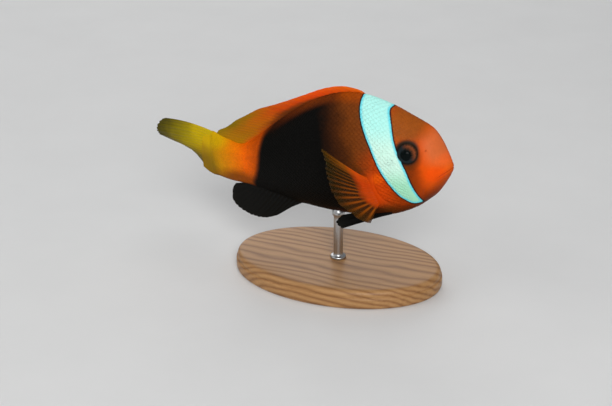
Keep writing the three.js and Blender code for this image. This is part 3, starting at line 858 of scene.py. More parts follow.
def makeSkin():
    form = skinForm
    rounding = fishForm["tipRounding"]
    nose = rounding * (1 - np.cos(np.linspace(0.004, 0.5 * np.pi, form["noseRows"])))
    head = np.linspace(rounding, form["headEnd"], form["headRows"])[1:]
    body = np.linspace(form["headEnd"], fishForm["length"], form["bodyRows"])[1:]
    tail = np.sin(np.linspace(0, 0.5 * np.pi, form["tailRows"])[1:])
    tail = fishForm["length"] + fishForm["tailFade"] * tail
    back = np.concatenate([nose, head, body, tail])
    turn = np.linspace(0, 2 * np.pi, form["sides"], endpoint=False) + np.pi / form["sides"]
    backs, turns = np.meshgrid(back, turn, indexing="ij")
    plain = bodyPoint(backs, turns)
    covered = scaledness(backs, plain[..., 2])
    points, normals = skinPoint(backs, turns)
    points = points - normals * (form["scaleDepth"] * covered)[..., None]
    flat = plain.reshape(-1, 3)
    rows, sides = backs.shape
    quads = gridFaces(rows, sides, closed=True)[:, ::-1]
    tip = len(flat)
    ring = np.arange(sides)
    fan = np.stack([np.full(sides, tip), ring, (ring + 1) % sides], -1)
    last = (rows - 1) * sides
    endFan = np.stack([np.full(sides, tip + 1), last + (ring + 1) % sides, last + ring], -1)
    ends = np.array([points[0].mean(0), points[-1].mean(0)])
    allPoints = posed(bent(np.concatenate([points.reshape(-1, 3), ends])))
    fields = coatFields(np.concatenate([flat, ends]))
    # The map is unwrapped along the fish and round it, by rows, so the head gets more room.
    rowShare = np.concatenate([np.repeat(np.arange(rows), sides) / rows, [0.0, 1.0]])
    faces = [quads, fan, endFan]
    corners = np.concatenate([f.ravel() for f in faces])
    column = corners % sides
    wraps = np.concatenate([
        np.repeat((f % sides).max(1) - (f % sides).min(1) > sides / 2, f.shape[1]) for f in faces
    ])
    around = np.where(wraps & (column == 0), sides, column) / sides
    atEnd = corners >= tip
    around = np.where(atEnd, 0.5, around)
    patchMap = np.stack([rowShare[corners], around], -1) * (1 - 2 * form["mapEdge"]) + form["mapEdge"]
    stood = ("head", "lower_jaw", "gill_cover_right", "gill_cover_left", "trunk", "tail_stalk")
    makePiece("fish_skin", allPoints, faces, skinMaterial, stood, fields, patchMap)


makeSkin()


eyeForm = {
    "pupil": 1.72, "iris": 2.82, "irisIn": 1.62, "irisOut": 1.50, "irisSwell": 0.05, "lens": 2.55,
    "lensSunk": 0.14, "lensOver": 0.04, "pupilCrease": 0.2, "creaseShare": 0.06, "shift": (-0.30, -0.25),
    "sides": 72,
}
darkPupil = (0.001, 0.0035, 0.0035)
eyeLook = {
    "lit": [(0.0, darkPupil), (0.42, darkPupil), (0.49, (0.020, 0.012, 0.008)), (0.57, (0.090, 0.028, 0.010)),
            (0.66, (0.20, 0.052, 0.018)), (0.73, (0.26, 0.064, 0.020)), (0.80, (0.110, 0.032, 0.011)),
            (0.89, (0.028, 0.015, 0.007)), (1.0, (0.022, 0.013, 0.007))],
    "shaded": [(0.0, darkPupil), (0.42, darkPupil), (0.52, (0.015, 0.024, 0.028)),
               (0.78, (0.015, 0.020, 0.022)), (0.88, (0.016, 0.012, 0.009)), (1.0, (0.020, 0.012, 0.007))],
    "litSide": (0.23, 0.15), "litEdge": (-0.1, 0.75), "ragged": 0.28,  # the iris is brighter ahead and above
    "speck": (0.006, 0.006, 0.005), "speckShare": 0.4,
}


def makeEyeMaterial():
    look = eyeLook
    material, tree, shader = newMaterial("eye_finish", {
        "Coat Weight": 0.07, "Coat Roughness": 0.10, "Specular IOR Level": 0.03, "Coat IOR": 1.36,
    })
    place = attribute(tree, "eyePlace", "Vector")
    ahead, above = axes(place)[0], axes(place)[1]
    streak = noise(place, 2.2, 4.0, 0.6)
    speck = noise(place, 7.0, 3.0, 0.7)
    radial = timesPlus(minus(streak, 0.5), look["ragged"], attribute(tree, "eyeRadial"))
    # Painted light: the iris is coloured lit ahead and above and shaded behind and below.
    lit = between(timesPlus(ahead, look["litSide"][0], times(above, look["litSide"][1])), *look["litEdge"])
    iris = mixed(lit, ramp(radial, look["shaded"]), ramp(radial, look["lit"]))
    feedAll(shader.inputs, {
        "Base Color": mixed(times(speck, look["speckShare"]), iris, look["speck"]),
        "Roughness": timesPlus(speck, 0.25, 0.18),
    })
    bumpUp(shader, streak, 0.25, 0.0001)
    return material


eyeMaterial = makeEyeMaterial()


def makeEye(sideName, side):
    form = eyeForm
    eye = headForm["eye"]
    far = np.concatenate([
        np.linspace(0.02, form["pupil"], 16),
        np.linspace(form["pupil"], form["iris"], 12)[1:],
        eye["radius"] * np.sin(np.linspace(math.asin(form["iris"] / eye["radius"]), 0.5 * np.pi, 12))[1:],
    ])
    ball = eye["depth"] * np.sqrt(np.clip(1 - (far / eye["radius"]) ** 2, 0, 1))
    lens = form["irisIn"] - form["lensSunk"] + (form["lens"] - form["irisIn"]) * np.sqrt(
        np.clip(1 - (far / (form["pupil"] + form["lensOver"])) ** 2, 0, 1)
    )
    share = np.clip((far - form["pupil"]) / (form["iris"] - form["pupil"]), 0, 1)
    iris = form["irisIn"] + (form["irisOut"] - form["irisIn"]) * share
    iris = iris + form["irisSwell"] * np.sin(np.pi * share)
    iris = iris - form["pupilCrease"] * np.exp(-share / form["creaseShare"])
    height = np.where(far <= form["pupil"], lens, np.where(far < form["iris"], iris, ball))
    backFar = eye["radius"] * np.cos(np.linspace(0, 0.5 * np.pi, 10))[1:]
    backHeight = -eye["depth"] * np.sqrt(np.clip(1 - (backFar / eye["radius"]) ** 2, 0, 1))
    far = np.concatenate([far, backFar])
    height = np.concatenate([height, backHeight])
    turn = np.linspace(0, 2 * np.pi, form["sides"], endpoint=False)
    fars, turns = np.meshgrid(far, turn, indexing="ij")
    heights = np.repeat(height[:, None], form["sides"], 1)
    off = np.clip(1 - (fars - form["pupil"]) / (form["iris"] - form["pupil"]), 0, 1) * (heights > 0)
    local = np.stack([
        fars * np.cos(turns) + form["shift"][0] * off,
        side * heights,
        fars * np.sin(turns) + form["shift"][1] * off,
    ], -1)
    points = local @ eyeAxes[side].T + np.array([-eye["back"], side * eye["side"], eye["up"]])
    flat = points.reshape(-1, 3)
    rows, sides = fars.shape
    quads = gridFaces(rows, sides, closed=True)
    if side > 0:
        quads = quads[:, ::-1]
    radial = np.where(heights.ravel() < 0, 1.0, fars.ravel() / eye["radius"])
    spun = np.stack([np.cos(turns) * 3, np.sin(turns) * 3, fars * 0.5], -1).reshape(-1, 3)
    fields = {"eyePlace": spun, "eyeRadial": radial}
    stood = ("eye_" + sideName,)
    makePiece("eye_ball_" + sideName, posed(bent(flat)), [quads], eyeMaterial, stood, fields)


for sideName, side in bothSides:
    makeEye(sideName, side)

# A scale is a small plate with a thickness, rooted on a grid over the body in rows that are set off by half.
scaleForm = {
    "rows": 30, "columnShare": 0.5, "width": 1.16, "length": 3.3, "lift": 0.075, "sunk": 0.02, "crown": 0.015,
    "thickness": 0.035, "bandFlat": 0.68, "acrossCount": 5, "alongCount": 5, "patch": 0.003, "seed": 7,
    "from": 5.0, "to": 81.8, "eyeClear": 4.25, "gillClear": 0.55, "pectoralClear": 1.5, "smallest": 0.62,
    "growsOver": (9, 22), "tipStart": 0.42, "tipReach": 0.62, "rootWidth": 0.80, "liftCurve": 1.3,
    "unevenSize": 0.05, "unevenTilt": 0.03, "unevenLift": 0.008,
    "zones": [("head", "orange_skin", 0, 26), ("flank", "dark_skin", 26, 62),
              ("tail", "yellow_skin", 62, 90)],
}


# A table of turns for even steps round a section from back to belly, and the length of each half section.
def girthTable(backs, count):
    turn = np.linspace(0, np.pi, count)
    section = bodyPoint(backs[:, None], turn[None, :])
    steps = np.linalg.norm(np.diff(section, axis=1), axis=-1)
    run = np.concatenate([np.zeros((len(backs), 1)), np.cumsum(steps, 1)], 1)
    shares = np.linspace(0, 1, count)
    turns = np.stack([np.interp(shares * row[-1], row, turn) for row in run])
    return turns, run[:, -1]


tableBacks = np.linspace(0.5, 82.4, 500)  # evenly spaced sections of the body
turnTable, girths = girthTable(tableBacks, 240)


def turnAt(back, share):
    row = np.clip((back - tableBacks[0]) / (tableBacks[1] - tableBacks[0]), 0, len(tableBacks) - 1.001)
    column = np.clip(share, 0, 1) * (turnTable.shape[1] - 1)
    column = np.minimum(column, turnTable.shape[1] - 1.001)
    i = row.astype(int)
    j = column.astype(int)
    inRow = row - i
    inColumn = column - j
    low = turnTable[i, j] * (1 - inColumn) + turnTable[i, j + 1] * inColumn
    high = turnTable[i + 1, j] * (1 - inColumn) + turnTable[i + 1, j + 1] * inColumn
    return low * (1 - inRow) + high * inRow


def scaleRoots():
    form = scaleForm
    back = form["from"]
    columns = []
    while back < form["to"]:
        columns.append(back)
        back += form["columnShare"] * float(np.interp(back, tableBacks, girths)) / form["rows"]
    backs, shares = [], []
    for number, back in enumerate(columns):
        share = (np.arange(form["rows"]) + (0.25 if number % 2 else 0.75)) / form["rows"]
        backs.append(np.full(form["rows"], back))
        shares.append(share)
    return np.concatenate(backs), np.concatenate(shares)


def makeScales():
    form = scaleForm
    rng = np.random.default_rng(form["seed"])
    rootBack, rootShare = scaleRoots()
    girth = np.interp(rootBack, tableBacks, girths)
    rowHeight = girth / form["rows"]
    turn = turnAt(rootBack, rootShare)
    middle = bodyPoint(rootBack + rowHeight * 0.8, turn)
    back, up = -middle[:, 0], middle[:, 2]
    keep = scaledness(back, up) > 0.5
    keep &= fromEye(middle)[0] > form["eyeClear"]
    off, along, _ = lineDistance(back, up, headForm["gillEdge"])
    keep &= ~((off < form["gillClear"]) & (along > 0.02) & (along < 0.98))
    keep &= lineDistance(back, up, sheathForm["pectoral"]["foot"])[0] > form["pectoralClear"]
    rootBack, rootShare, rowHeight, girth = (v[keep] for v in (rootBack, rootShare, rowHeight, girth))
    rootHeight = bodyPoint(rootBack, turnAt(rootBack, rootShare))[:, 2]
    grown = smoothStep(rootBack - 0.25 * np.clip(rootHeight, 0, 9), *form["growsOver"])
    jitter = rng.normal(0, 1, (3, len(rootBack)))
    size = (form["smallest"] + (1 - form["smallest"]) * grown) * (1 + form["unevenSize"] * jitter[0])

    acrossCount, alongCount = form["acrossCount"], form["alongCount"]
    sideShare, tipShare = np.meshgrid(
        np.linspace(-1, 1, acrossCount), np.linspace(0, 1, alongCount), indexing="ij"
    )
    start = form["tipStart"]
    tip = np.sqrt(np.clip(1 - ((tipShare - start) / form["tipReach"]) ** 2, 0, 1))
    root = form["rootWidth"] + (1 - form["rootWidth"]) * tipShare / start
    acrossIt = (sideShare * np.where(tipShare > start, tip, root)).ravel()
    alongIt = tipShare.ravel()
    tops = len(alongIt)
    alongReach = rowHeight * form["columnShare"] * form["length"] * size
    acrossReach = 0.5 * form["width"] * rowHeight * size
    sideways = acrossIt[None, :] * acrossReach[:, None]
    shares = rootShare[:, None] + sideways / girth[:, None]
    backs = rootBack[:, None] + alongIt[None, :] * alongReach[:, None]
    backs = backs + form["unevenTilt"] * jitter[1][:, None] * sideways
    turns = turnAt(backs, shares)
    lift = form["lift"] * alongIt[None, :] ** form["liftCurve"] * (0.85 + 0.15 * size[:, None]) - form["sunk"]
    lift = lift + form["crown"] * ((1 - acrossIt**2) * alongIt)[None, :]
    lift = lift + form["unevenLift"] * jitter[2][:, None]

    grid = np.arange(tops).reshape(acrossCount, alongCount)
    topQuads = np.stack([grid[:-1, :-1], grid[1:, :-1], grid[1:, 1:], grid[:-1, 1:]], -1).reshape(-1, 4)
    rimQuads = rimFaces(acrossCount, alongCount)
    oneScale = np.concatenate([topQuads, topQuads[:, ::-1] + tops, rimQuads[:, ::-1]])
    local = np.tile(np.stack([acrossIt, alongIt, 0 * alongIt], -1), (2, 1))

    for sideName, side in bothSides:
        sideTurns = turns if side > 0 else 2 * np.pi - turns
        surface, normal = skinPoint(backs, sideTurns)
        surface = surface - normal * skinForm["scaleDepth"]
        top = surface + normal * lift[..., None]
        plain = bodyPoint(backs, sideTurns)
        inBand = smoothStep(markingFields(plain)["bandEdge"], -0.4, 0.4)
        top = top - normal * (form["bandFlat"] * lift * inBand)[..., None]
        under = top - normal * form["thickness"]
        for zone, slot, low, high in form["zones"]:
            chosen = (rootBack >= low) & (rootBack < high)
            count = int(chosen.sum())
            points = np.concatenate([top[chosen], under[chosen]], 1).reshape(-1, 3)
            quads = (np.arange(count)[:, None, None] * 2 * tops + oneScale[None]).reshape(-1, 4)
            if side > 0:
                quads = quads[:, ::-1]
            fields = coatFields(np.concatenate([plain[chosen]] * 2, 1).reshape(-1, 3))
            fields["scalePlace"] = np.tile(local, (count, 1))
            fields["scaleTone"] = np.repeat(rng.random(count), 2 * tops)
            rootMap = np.stack([(rootBack[chosen] - low) / (high - low), rootShare[chosen]], -1)
            patch = rootMap[:, None, :] * 0.99 + 0.004
            patch = patch + form["patch"] * (local[None, :, :2] * np.array([0.5, 1.0]) - np.array([0.0, 0.5]))
            name = "scales_" + zone + "_" + sideName
            patch = patch.reshape(-1, 2)
            makePiece(name, posed(bent(points)), [quads], scaleMaterial, (), fields, patch)


makeScales()

# The web of a fin: root, middle and tip colours along its rays, with rays and their joints over it.
def makeFinWeb():
    group, given, gives = newGroup(
        "finWeb",
        [("Root Color", "Color", (1, 1, 1, 1)), ("Root Reach", "Float", 0.42),
         ("Middle Color", "Color", (1, 1, 1, 1)), ("Tip Color", "Color", (1, 1, 1, 1)),
         ("Ray Color", "Color", (1, 1, 1, 1)), ("Ray Strength", "Float", 0.5), ("Tip Start", "Float", 0.55),
         ("Web Alpha", "Float", 0.5), ("Edge Alpha", "Float", 0.4), ("Ray Alpha", "Float", 1.0),
         ("Joint Spacing", "Float", 0.7), ("Joint Depth", "Float", 0.4), ("Grain Depth", "Float", 0.3),
         ("Fleck", "Float", 0.5), ("Ray Fade", "Float", 0.6)],
        [("Color", "Color", None), ("Alpha", "Float", None), ("Height", "Float", None),
         ("Roughness", "Float", None)],
    )
    reach = attribute(group, "finReach")
    ray = attribute(group, "rayMask")
    place = attribute(group, "finPlace", "Vector")
    grain = useGroup(group, softGrain, {"Place": place, "Broad Scale": 0.3, "Fine Scale": 2.4})
    reached = plus(reach, timesPlus(grain["Drift"], 0.24, -0.12))
    pastRoot = between(reached, times(given["Root Reach"], 0.45), given["Root Reach"])
    toTip = between(reached, given["Tip Start"], 1.0)
    rayTone = mixed(times(toTip, given["Ray Fade"]), given["Ray Color"], given["Tip Color"])
    tone = mixed(pastRoot, given["Root Color"], given["Middle Color"])
    tone = mixed(toTip, tone, given["Tip Color"])
    tone = mixed(times(ray, times(given["Ray Strength"], pastRoot)), tone, rayTone)
    fleck = timesPlus(minus(grain["Freckle"], 0.5), given["Fleck"], 1.0)

    web = mixedValue(toTip, given["Web Alpha"], given["Edge Alpha"])
    bone = mixedValue(toTip, given["Ray Alpha"], plus(given["Edge Alpha"], 0.25))
    flesh = between(reach, 0.30, 0.08)  # the foot of the fin isn't see-through

    halfTurns = times(maths("DIVIDE", times(axes(place)[1], 2 * math.pi), given["Joint Spacing"]), 0.5)
    joint = maths("POWER", maths("ABSOLUTE", maths("COSINE", halfTurns)), 8.0)
    jointed = times(joint, ray, between(reach, 0.25, 0.5), given["Joint Depth"])
    feedAll(gives, {
        "Color": brightened(tone, fleck),
        "Alpha": maths("MAXIMUM", mixedValue(ray, web, bone), flesh),
        "Height": minus(times(grain["Height"], given["Grain Depth"]), jointed),
        "Roughness": timesPlus(grain["Freckle"], 0.2, 0.32),
    })
    return group


finWeb = makeFinWeb()


# byShare holds values that change from a fin's first ray to its last.
def finMaterial(name, values, byShare=None):
    material, tree, shader = newMaterial(name, {
        "Coat Weight": 0.03, "Coat Roughness": 0.25, "Specular IOR Level": 0.08,
    })
    for key, stops in (byShare or {}).items():
        values[key] = ramp(attribute(tree, "finShare"), stops)
    web = useGroup(tree, finWeb, values)
    feedAll(shader.inputs, {"Base Color": web["Color"], "Alpha": web["Alpha"], "Roughness": web["Roughness"]})
    bumpUp(shader, web["Height"], 0.4, 0.00008)
    return material


def rayCurves(rays):
    columns = list(zip(*rays))
    return [smoothThrough(list(zip(columns[0], column))) for column in columns[1:]]


# An unpaired fin: rays stand on the edge of the body and sweep back from upright.
def midlineRays(fin, up):
    lengthAt, sweepAt = rayCurves(fin["rays"])
    edgeAt = backAt if up > 0 else bellyAt

    def rayAt(share, along):
        back = fin["baseStart"] + (fin["baseEnd"] - fin["baseStart"]) * share
        slope = np.arctan((edgeAt(back + 1) - edgeAt(back - 1)) / 2)
        reach = along * (lengthAt(share) + fin["root"])
        sweep = np.radians(sweepAt(share)) - slope + np.radians(fin["curl"] * along)
        height = up * (edgeAt(back) - fin["root"] + reach * np.cos(sweep))
        return bent(np.stack([-back - reach * np.sin(sweep), 0 * reach, height], -1))

    return rayAt


def fanRays(fin, baseAt, side):
    lengthAt, climbAt, leanAt, archAt = rayCurves(fin["rays"])

    def rayAt(share, along):
        climb = np.radians(climbAt(share) + archAt(share) * (1 - along))
        lean = np.radians(leanAt(share))
        reach = along * lengthAt(share)
        base = baseAt(share)
        dive = fin["dive"] * (1 - smoothStep(along, fin["begin"], fin["rootShare"]))
        return np.stack([
            base[..., 0] - reach * np.cos(climb) * np.cos(lean),
            side * (base[..., 1] + reach * np.sin(lean) - fin["cup"] * reach * np.abs(reach) - dive),
            base[..., 2] + reach * np.sin(climb) * np.cos(lean),
        ], -1)

    return rayAt


# Fins: thicknesses and lengths are millimetres, and a ray is (share of the fin's base, length, angles).
anyFin = {
    "spines": 0, "spinyShare": 0, "perRay": 12, "alongCount": 46, "begin": 0.0, "rayRoot": 0.62,
    "rayTip": 0.2, "webRoot": 0.3, "webTip": 0.08, "rootSwell": 0.5, "rootShare": 0.2, "swellEnds": 30,
    "softWidth": 0.27,
    "thinning": 0.15, "split": 0.22, "spineNotch": 0.0,
}
dorsalFin = {
    **anyFin, "baseStart": 24, "baseEnd": 69, "root": 1.4, "curl": 4, "spines": 10, "softRays": 17,
    "spinyShare": 0.6, "rootShare": 0.3, "uneven": 0.003, "notch": 0.008, "spineNotch": 0.012, "pleat": 0.018,
    "wave": 0.05,
    "rays": [(0, 3.2, 62), (0.08, 5.2, 61), (0.25, 5.3, 56), (0.38, 5.3, 51), (0.46, 6.1, 48),
             (0.55, 7.9, 45), (0.63, 10.3, 43), (0.8, 12.2, 42), (0.92, 12.4, 45), (1, 9.4, 58)],
}
analFin = {
    **anyFin, "baseStart": 49, "baseEnd": 68, "root": 1.4, "curl": 8, "spines": 2, "softRays": 13,
    "spinyShare": 0.12, "rootShare": 0.25, "uneven": 0.006, "notch": 0.015, "spineNotch": 0.04, "pleat": 0.05,
    "wave": 0.08,
    "rays": [(0, 3.6, 42), (0.15, 9.2, 27), (0.4, 12.2, 19), (0.7, 12.2, 24), (0.87, 10.9, 32),
             (0.94, 8.4, 42), (1, 4.6, 58)],
}
pectoralFin = {
    **anyFin, "baseTop": (23.7, -2.0), "baseLow": (22.2, -10.4), "cup": 0.006, "dive": 1.5, "proud": 0.65,
    "softRays": 14, "perRay": 18, "alongCount": 64, "begin": -0.12, "rayRoot": 0.5, "rayTip": 0.16,
    "webTip": 0.06, "rootSwell": 0.9, "rootShare": 0.26, "swellEnds": 4, "softWidth": 0.205, "thinning": 0.05,
    "split": 0.06, "uneven": 0.012, "notch": 0.025, "pleat": 0.10, "wave": 0.15,
    "rays": [(0, 19.0, 45, 26, 0), (0.25, 18.4, 42, 34, 0), (0.5, 16.8, 32, 41, 0), (0.7, 14.2, 13, 47, 0),
             (0.85, 10.2, -18, 54, 0), (1, 7.4, -74, 52, 0)],
}
pelvicFin = {
    **anyFin, "baseTop": (20.6, 2.9), "baseLow": (25.4, 1.6), "sunk": 1.2, "cup": 0.002, "dive": 0.0,
    "spines": 1, "softRays": 5, "spinyShare": 0.12, "perRay": 20, "alongCount": 60, "begin": -0.05,
    "rayRoot": 0.6, "webRoot": 0.35, "swellEnds": 6, "uneven": 0.008, "notch": 0.02, "spineNotch": 0.02,
    "pleat": 0.08, "wave": 0.10,
    "rays": [(0, 16.4, -17, 13, 0), (0.35, 16.2, -11, 10, 0), (0.7, 12.8, -5, 7, 0), (1, 8.0, -2, 4, 0)],
}
tailFin = {
    **anyFin, "baseLow": -7.1, "baseTop": 7.6, "gap": 0.3, "steps": 12, "softRays": 17, "perRay": 14,
    "alongCount": 80, "begin": -0.03, "rayTip": 0.18, "webRoot": 0.34, "webTip": 0.07, "rootSwell": 1.5,
    "swellEnds": 4, "uneven": 0.008, "notch": 0.02, "pleat": 0.06, "wave": 0.12,
    "rays": [(0, 16.0, 13, 86, 0), (0.25, 20.2, 11, 50, 0), (0.5, 23.6, 5, 18, 0), (0.75, 23.8, 4, 4, 4),
             (0.92, 21.8, 7, 2, 8), (1, 19.6, 8, 2, 10)],
}
rayForm = {
    "branchAt": (0.36, 0.95), "twigAt": (0.64, 1.0), "twigShare": 0.46, "narrowing": 0.8, "spineWidth": 0.22,
    "spineThinning": 0.14, "notchAt": (0.08, 0.5), "waves": 6.2, "waveLean": 2.0, "rayTaper": 0.7,
    "webTaper": 0.6, "rimWidth": 0.03, "rimThin": 0.35, "spacing": 0.9,
}


# Half the body's width at a height, found by halving.
def sideAt(back, height):
    low = np.zeros(np.shape(back))
    high = np.full(np.shape(back), np.pi)
    for _ in range(30):
        turn = (low + high) / 2
        above = bodyPoint(back, turn)[..., 2] > height
        low, high = np.where(above, turn, low), np.where(above, high, turn)
    return bodyPoint(back, low)[..., 1]


def pectoralBase(share):
    fin = pectoralFin
    back = fin["baseTop"][0] + (fin["baseLow"][0] - fin["baseTop"][0]) * share
    up = fin["baseTop"][1] + (fin["baseLow"][1] - fin["baseTop"][1]) * share
    return np.stack([-back, sideAt(back, up) + fin["proud"], up], -1)


def pelvicBase(share):
    fin = pelvicFin
    back = fin["baseTop"][0] + (fin["baseLow"][0] - fin["baseTop"][0]) * share
    out = fin["baseTop"][1] + (fin["baseLow"][1] - fin["baseTop"][1]) * share
    return np.stack([-back, out, -bellyAt(back) + fin["sunk"]], -1)


tailLengthAt, tailClimbAt, tailTurnAt, tailArchAt = rayCurves(tailFin["rays"])


# The tail fin's rays start along the curved body and turn further to the left, most of all the lower ones.
def tailRay(share, along):
    start = fishForm["length"] + tailFin["gap"]
    heading = bendAngle(start)
    up = tailFin["baseLow"] + (tailFin["baseTop"] - tailFin["baseLow"]) * share
    place = bent(np.stack([np.full(np.shape(share), -start), 0 * share, up], -1))
    steps = tailFin["steps"]
    step = along * tailLengthAt(share) / steps
    for i in range(steps):
        part = np.maximum(along, 0) * (i + 0.5) / steps
        angle = heading + np.radians(tailTurnAt(share)) * part
        climb = np.radians(tailClimbAt(share) + tailArchAt(share) * (1 - 2 * part))
        move = [-np.cos(angle) * np.cos(climb), np.sin(angle) * np.cos(climb), np.sin(climb)]
        place = place + np.stack(move, -1) * step[..., None]
    return place


# Places along the fin for spines first, then soft rays, with one more beyond each end.
def rayCentres(fin):
    count = fin["spines"] + fin["softRays"]
    spiny = (np.arange(fin["spines"]) + 0.35) / max(fin["spines"], 1) * fin["spinyShare"]
    soft = fin["spinyShare"] + (np.arange(fin["softRays"]) + 0.5) / fin["softRays"] * (1 - fin["spinyShare"])
    return np.concatenate([[-0.5 / count], spiny, soft, [1 + 0.5 / count]])


# How much a place belongs to a ray: spines stay single, and soft rays branch twice.
def rayShape(fin, offset, along, branched):
    form = rayForm
    split = fin["split"] * smoothStep(along, *form["branchAt"]) * branched
    twig = form["twigShare"] * fin["split"] * smoothStep(along, *form["twigAt"]) * branched
    softWidth = fin["softWidth"] - fin["thinning"] * along ** form["narrowing"]
    spineWidth = form["spineWidth"] - form["spineThinning"] * along
    width = softWidth * branched + spineWidth * (1 - branched)
    ray = np.zeros(np.broadcast(offset, along).shape)
    for first in (-1, 1):
        for second in (-1, 1):
            ray = np.maximum(ray, bell(offset - first * split - second * twig, width))
    return ray


def makeFin(name, rayAt, fin, material, stood, seed):
    form = rayForm
    rng = np.random.default_rng(seed)
    count = fin["spines"] + fin["softRays"]
    share = np.linspace(0, 1, count * fin["perRay"] + 1)
    index = np.interp(share, rayCentres(fin), np.arange(-1, count + 1))
    nearest = np.clip(np.round(index), 0, count - 1).astype(int)
    offset = (index - nearest)[:, None]
    branched = (nearest >= fin["spines"]).astype(float)[:, None]
    along = np.linspace(0, 1, fin["alongCount"])[None, :]
    ray = rayShape(fin, offset, along, branched)

    longer = 1 + fin["uneven"] * rng.normal(0, 1, count)
    notch = np.where(branched > 0, fin["notch"], fin["spineNotch"])[:, 0]
    ends = 1 - notch * smoothStep(np.abs(offset[:, 0]), *form["notchAt"])
    lengths = np.interp(index, np.arange(count), longer) * ends
    reach = fin["begin"] + along * (np.minimum(lengths, 1.0)[:, None] - fin["begin"])
    shares = np.broadcast_to(share[:, None], reach.shape)
    middle = rayAt(shares, reach)
    normal = unit(np.cross(np.gradient(middle, axis=0), np.gradient(middle, axis=1)))
    outer = np.clip(reach, 0, 1)
    fold = fin["pleat"] * np.cos(np.pi * index)[:, None] * outer
    wave = np.sin(form["waves"] * index[:, None] / count + form["waveLean"] * reach + seed) * outer**2
    middle = middle + normal * (fold + fin["wave"] * wave)[..., None]

    bone = fin["rayRoot"] + (fin["rayTip"] - fin["rayRoot"]) * along ** form["rayTaper"]
    web = fin["webRoot"] + (fin["webTip"] - fin["webRoot"]) * along ** form["webTaper"]
    middleShare = (1 - np.abs(2 * share - 1) ** fin["swellEnds"])[:, None]
    swell = fin["rootSwell"] * (1 - smoothStep(reach, 0.0, fin["rootShare"])) * middleShare
    fromRim = form["rimThin"] + (1 - form["rimThin"]) * smoothStep(1 - along, 0, form["rimWidth"])
    thickness = (web + (bone - web) * ray + swell) * fromRim

    rows, columns = reach.shape
    near = (middle + normal * thickness[..., None] / 2).reshape(-1, 3)
    far = (middle - normal * thickness[..., None] / 2).reshape(-1, 3)
    front = gridFaces(rows, columns)
    quads = np.concatenate([front[:, ::-1], front + len(near), rimFaces(rows, columns)[:, ::-1]])
    place = np.concatenate([near, far])
    corner = place[quads[0]]
    if np.dot(np.cross(corner[1] - corner[0], corner[2] - corner[1]), normal[0, 0]) < 0:
        quads = quads[:, ::-1]  # turned so that the faces look outwards
    steps = np.linalg.norm(np.diff(middle, axis=1), axis=-1)
    run = np.concatenate([np.zeros((rows, 1)), np.cumsum(steps, 1)], 1)
    spread = np.stack([np.broadcast_to(index[:, None], reach.shape) * form["spacing"], run, 0 * reach], -1)
    fields = {"finShare": shares, "finReach": reach, "rayMask": ray}
    fields = {key: np.tile(values.ravel(), 2) for key, values in fields.items()}
    fields["finPlace"] = np.tile(spread.reshape(-1, 3), (2, 1))
    makePiece(name, posed(place), [quads], material, stood, fields)


dorsalMaterial = finMaterial("dorsal_fin_finish", {
    "Tip Start": 0.55, "Web Alpha": 0.96, "Edge Alpha": 0.88, "Ray Alpha": 1.0, "Joint Depth": 0.2,
}, {
    "Root Reach": [(0.0, 0.60), (0.30, 0.57), (0.46, 0.68),
                   (0.58, 0.56), (0.66, 0.43), (0.82, 0.32),
                   (1.0, 0.28)],
    "Ray Strength": [(0.0, 0.10), (0.55, 0.10), (0.7, 0.3)],
    "Root Color": [(0.0, (0.42, 0.072, 0.001)), (0.15, (0.38, 0.062, 0.001)), (0.30, (0.21, 0.036, 0.001)),
                   (0.60, (0.12, 0.024, 0.001)), (0.70, (0.17, 0.030, 0.001)), (0.80, (0.46, 0.076, 0.001)),
                   (1.0, (0.66, 0.150, 0.001))],
    "Middle Color": [(0.0, (0.66, 0.100, 0.001)), (0.3, (0.72, 0.055, 0.001)), (0.58, (0.55, 0.058, 0.001)),
                     (0.72, (0.46, 0.108, 0.001)), (0.85, (0.35, 0.128, 0.001)), (1.0, (0.42, 0.205, 0.001))],
    "Tip Color": [(0.0, (0.80, 0.140, 0.002)), (0.3, (0.86, 0.086, 0.001)), (0.55, (0.58, 0.084, 0.001)),
                  (0.68, (0.26, 0.134, 0.001)), (0.8, (0.175, 0.130, 0.001)), (1.0, (0.34, 0.200, 0.001))],
    "Ray Color": [(0.0, (0.74, 0.090, 0.001)), (0.6, (0.56, 0.105, 0.001)), (1.0, (0.44, 0.210, 0.001))],
})
# The tail fin: painted shade darkens its lower rays, and its dark olive tips are the fin's own thin edge
# deepened with painted shade.
tailMaterial = finMaterial("tail_fin_finish", {
    "Tip Color": (0.040, 0.035, 0.001), "Ray Color": (0.36, 0.26, 0.001), "Ray Strength": 0.25,
    "Tip Start": 0.40, "Web Alpha": 0.95, "Edge Alpha": 0.85, "Joint Depth": 0.25,
}, {
    "Root Reach": [(0.0, 0.42), (0.45, 0.44), (1.0, 0.58)],
    "Root Color": [(0.0, (0.10, 0.060, 0.001)), (0.2, (0.19, 0.110, 0.001)), (0.45, (0.34, 0.200, 0.001)),
                   (0.7, (0.54, 0.370, 0.001)), (1.0, (0.56, 0.390, 0.001))],
    "Middle Color": [(0.0, (0.040, 0.028, 0.001)), (0.35, (0.16, 0.110, 0.001)), (0.6, (0.36, 0.265, 0.001)),
                     (0.85, (0.33, 0.250, 0.001)), (1.0, (0.27, 0.195, 0.001))],
})
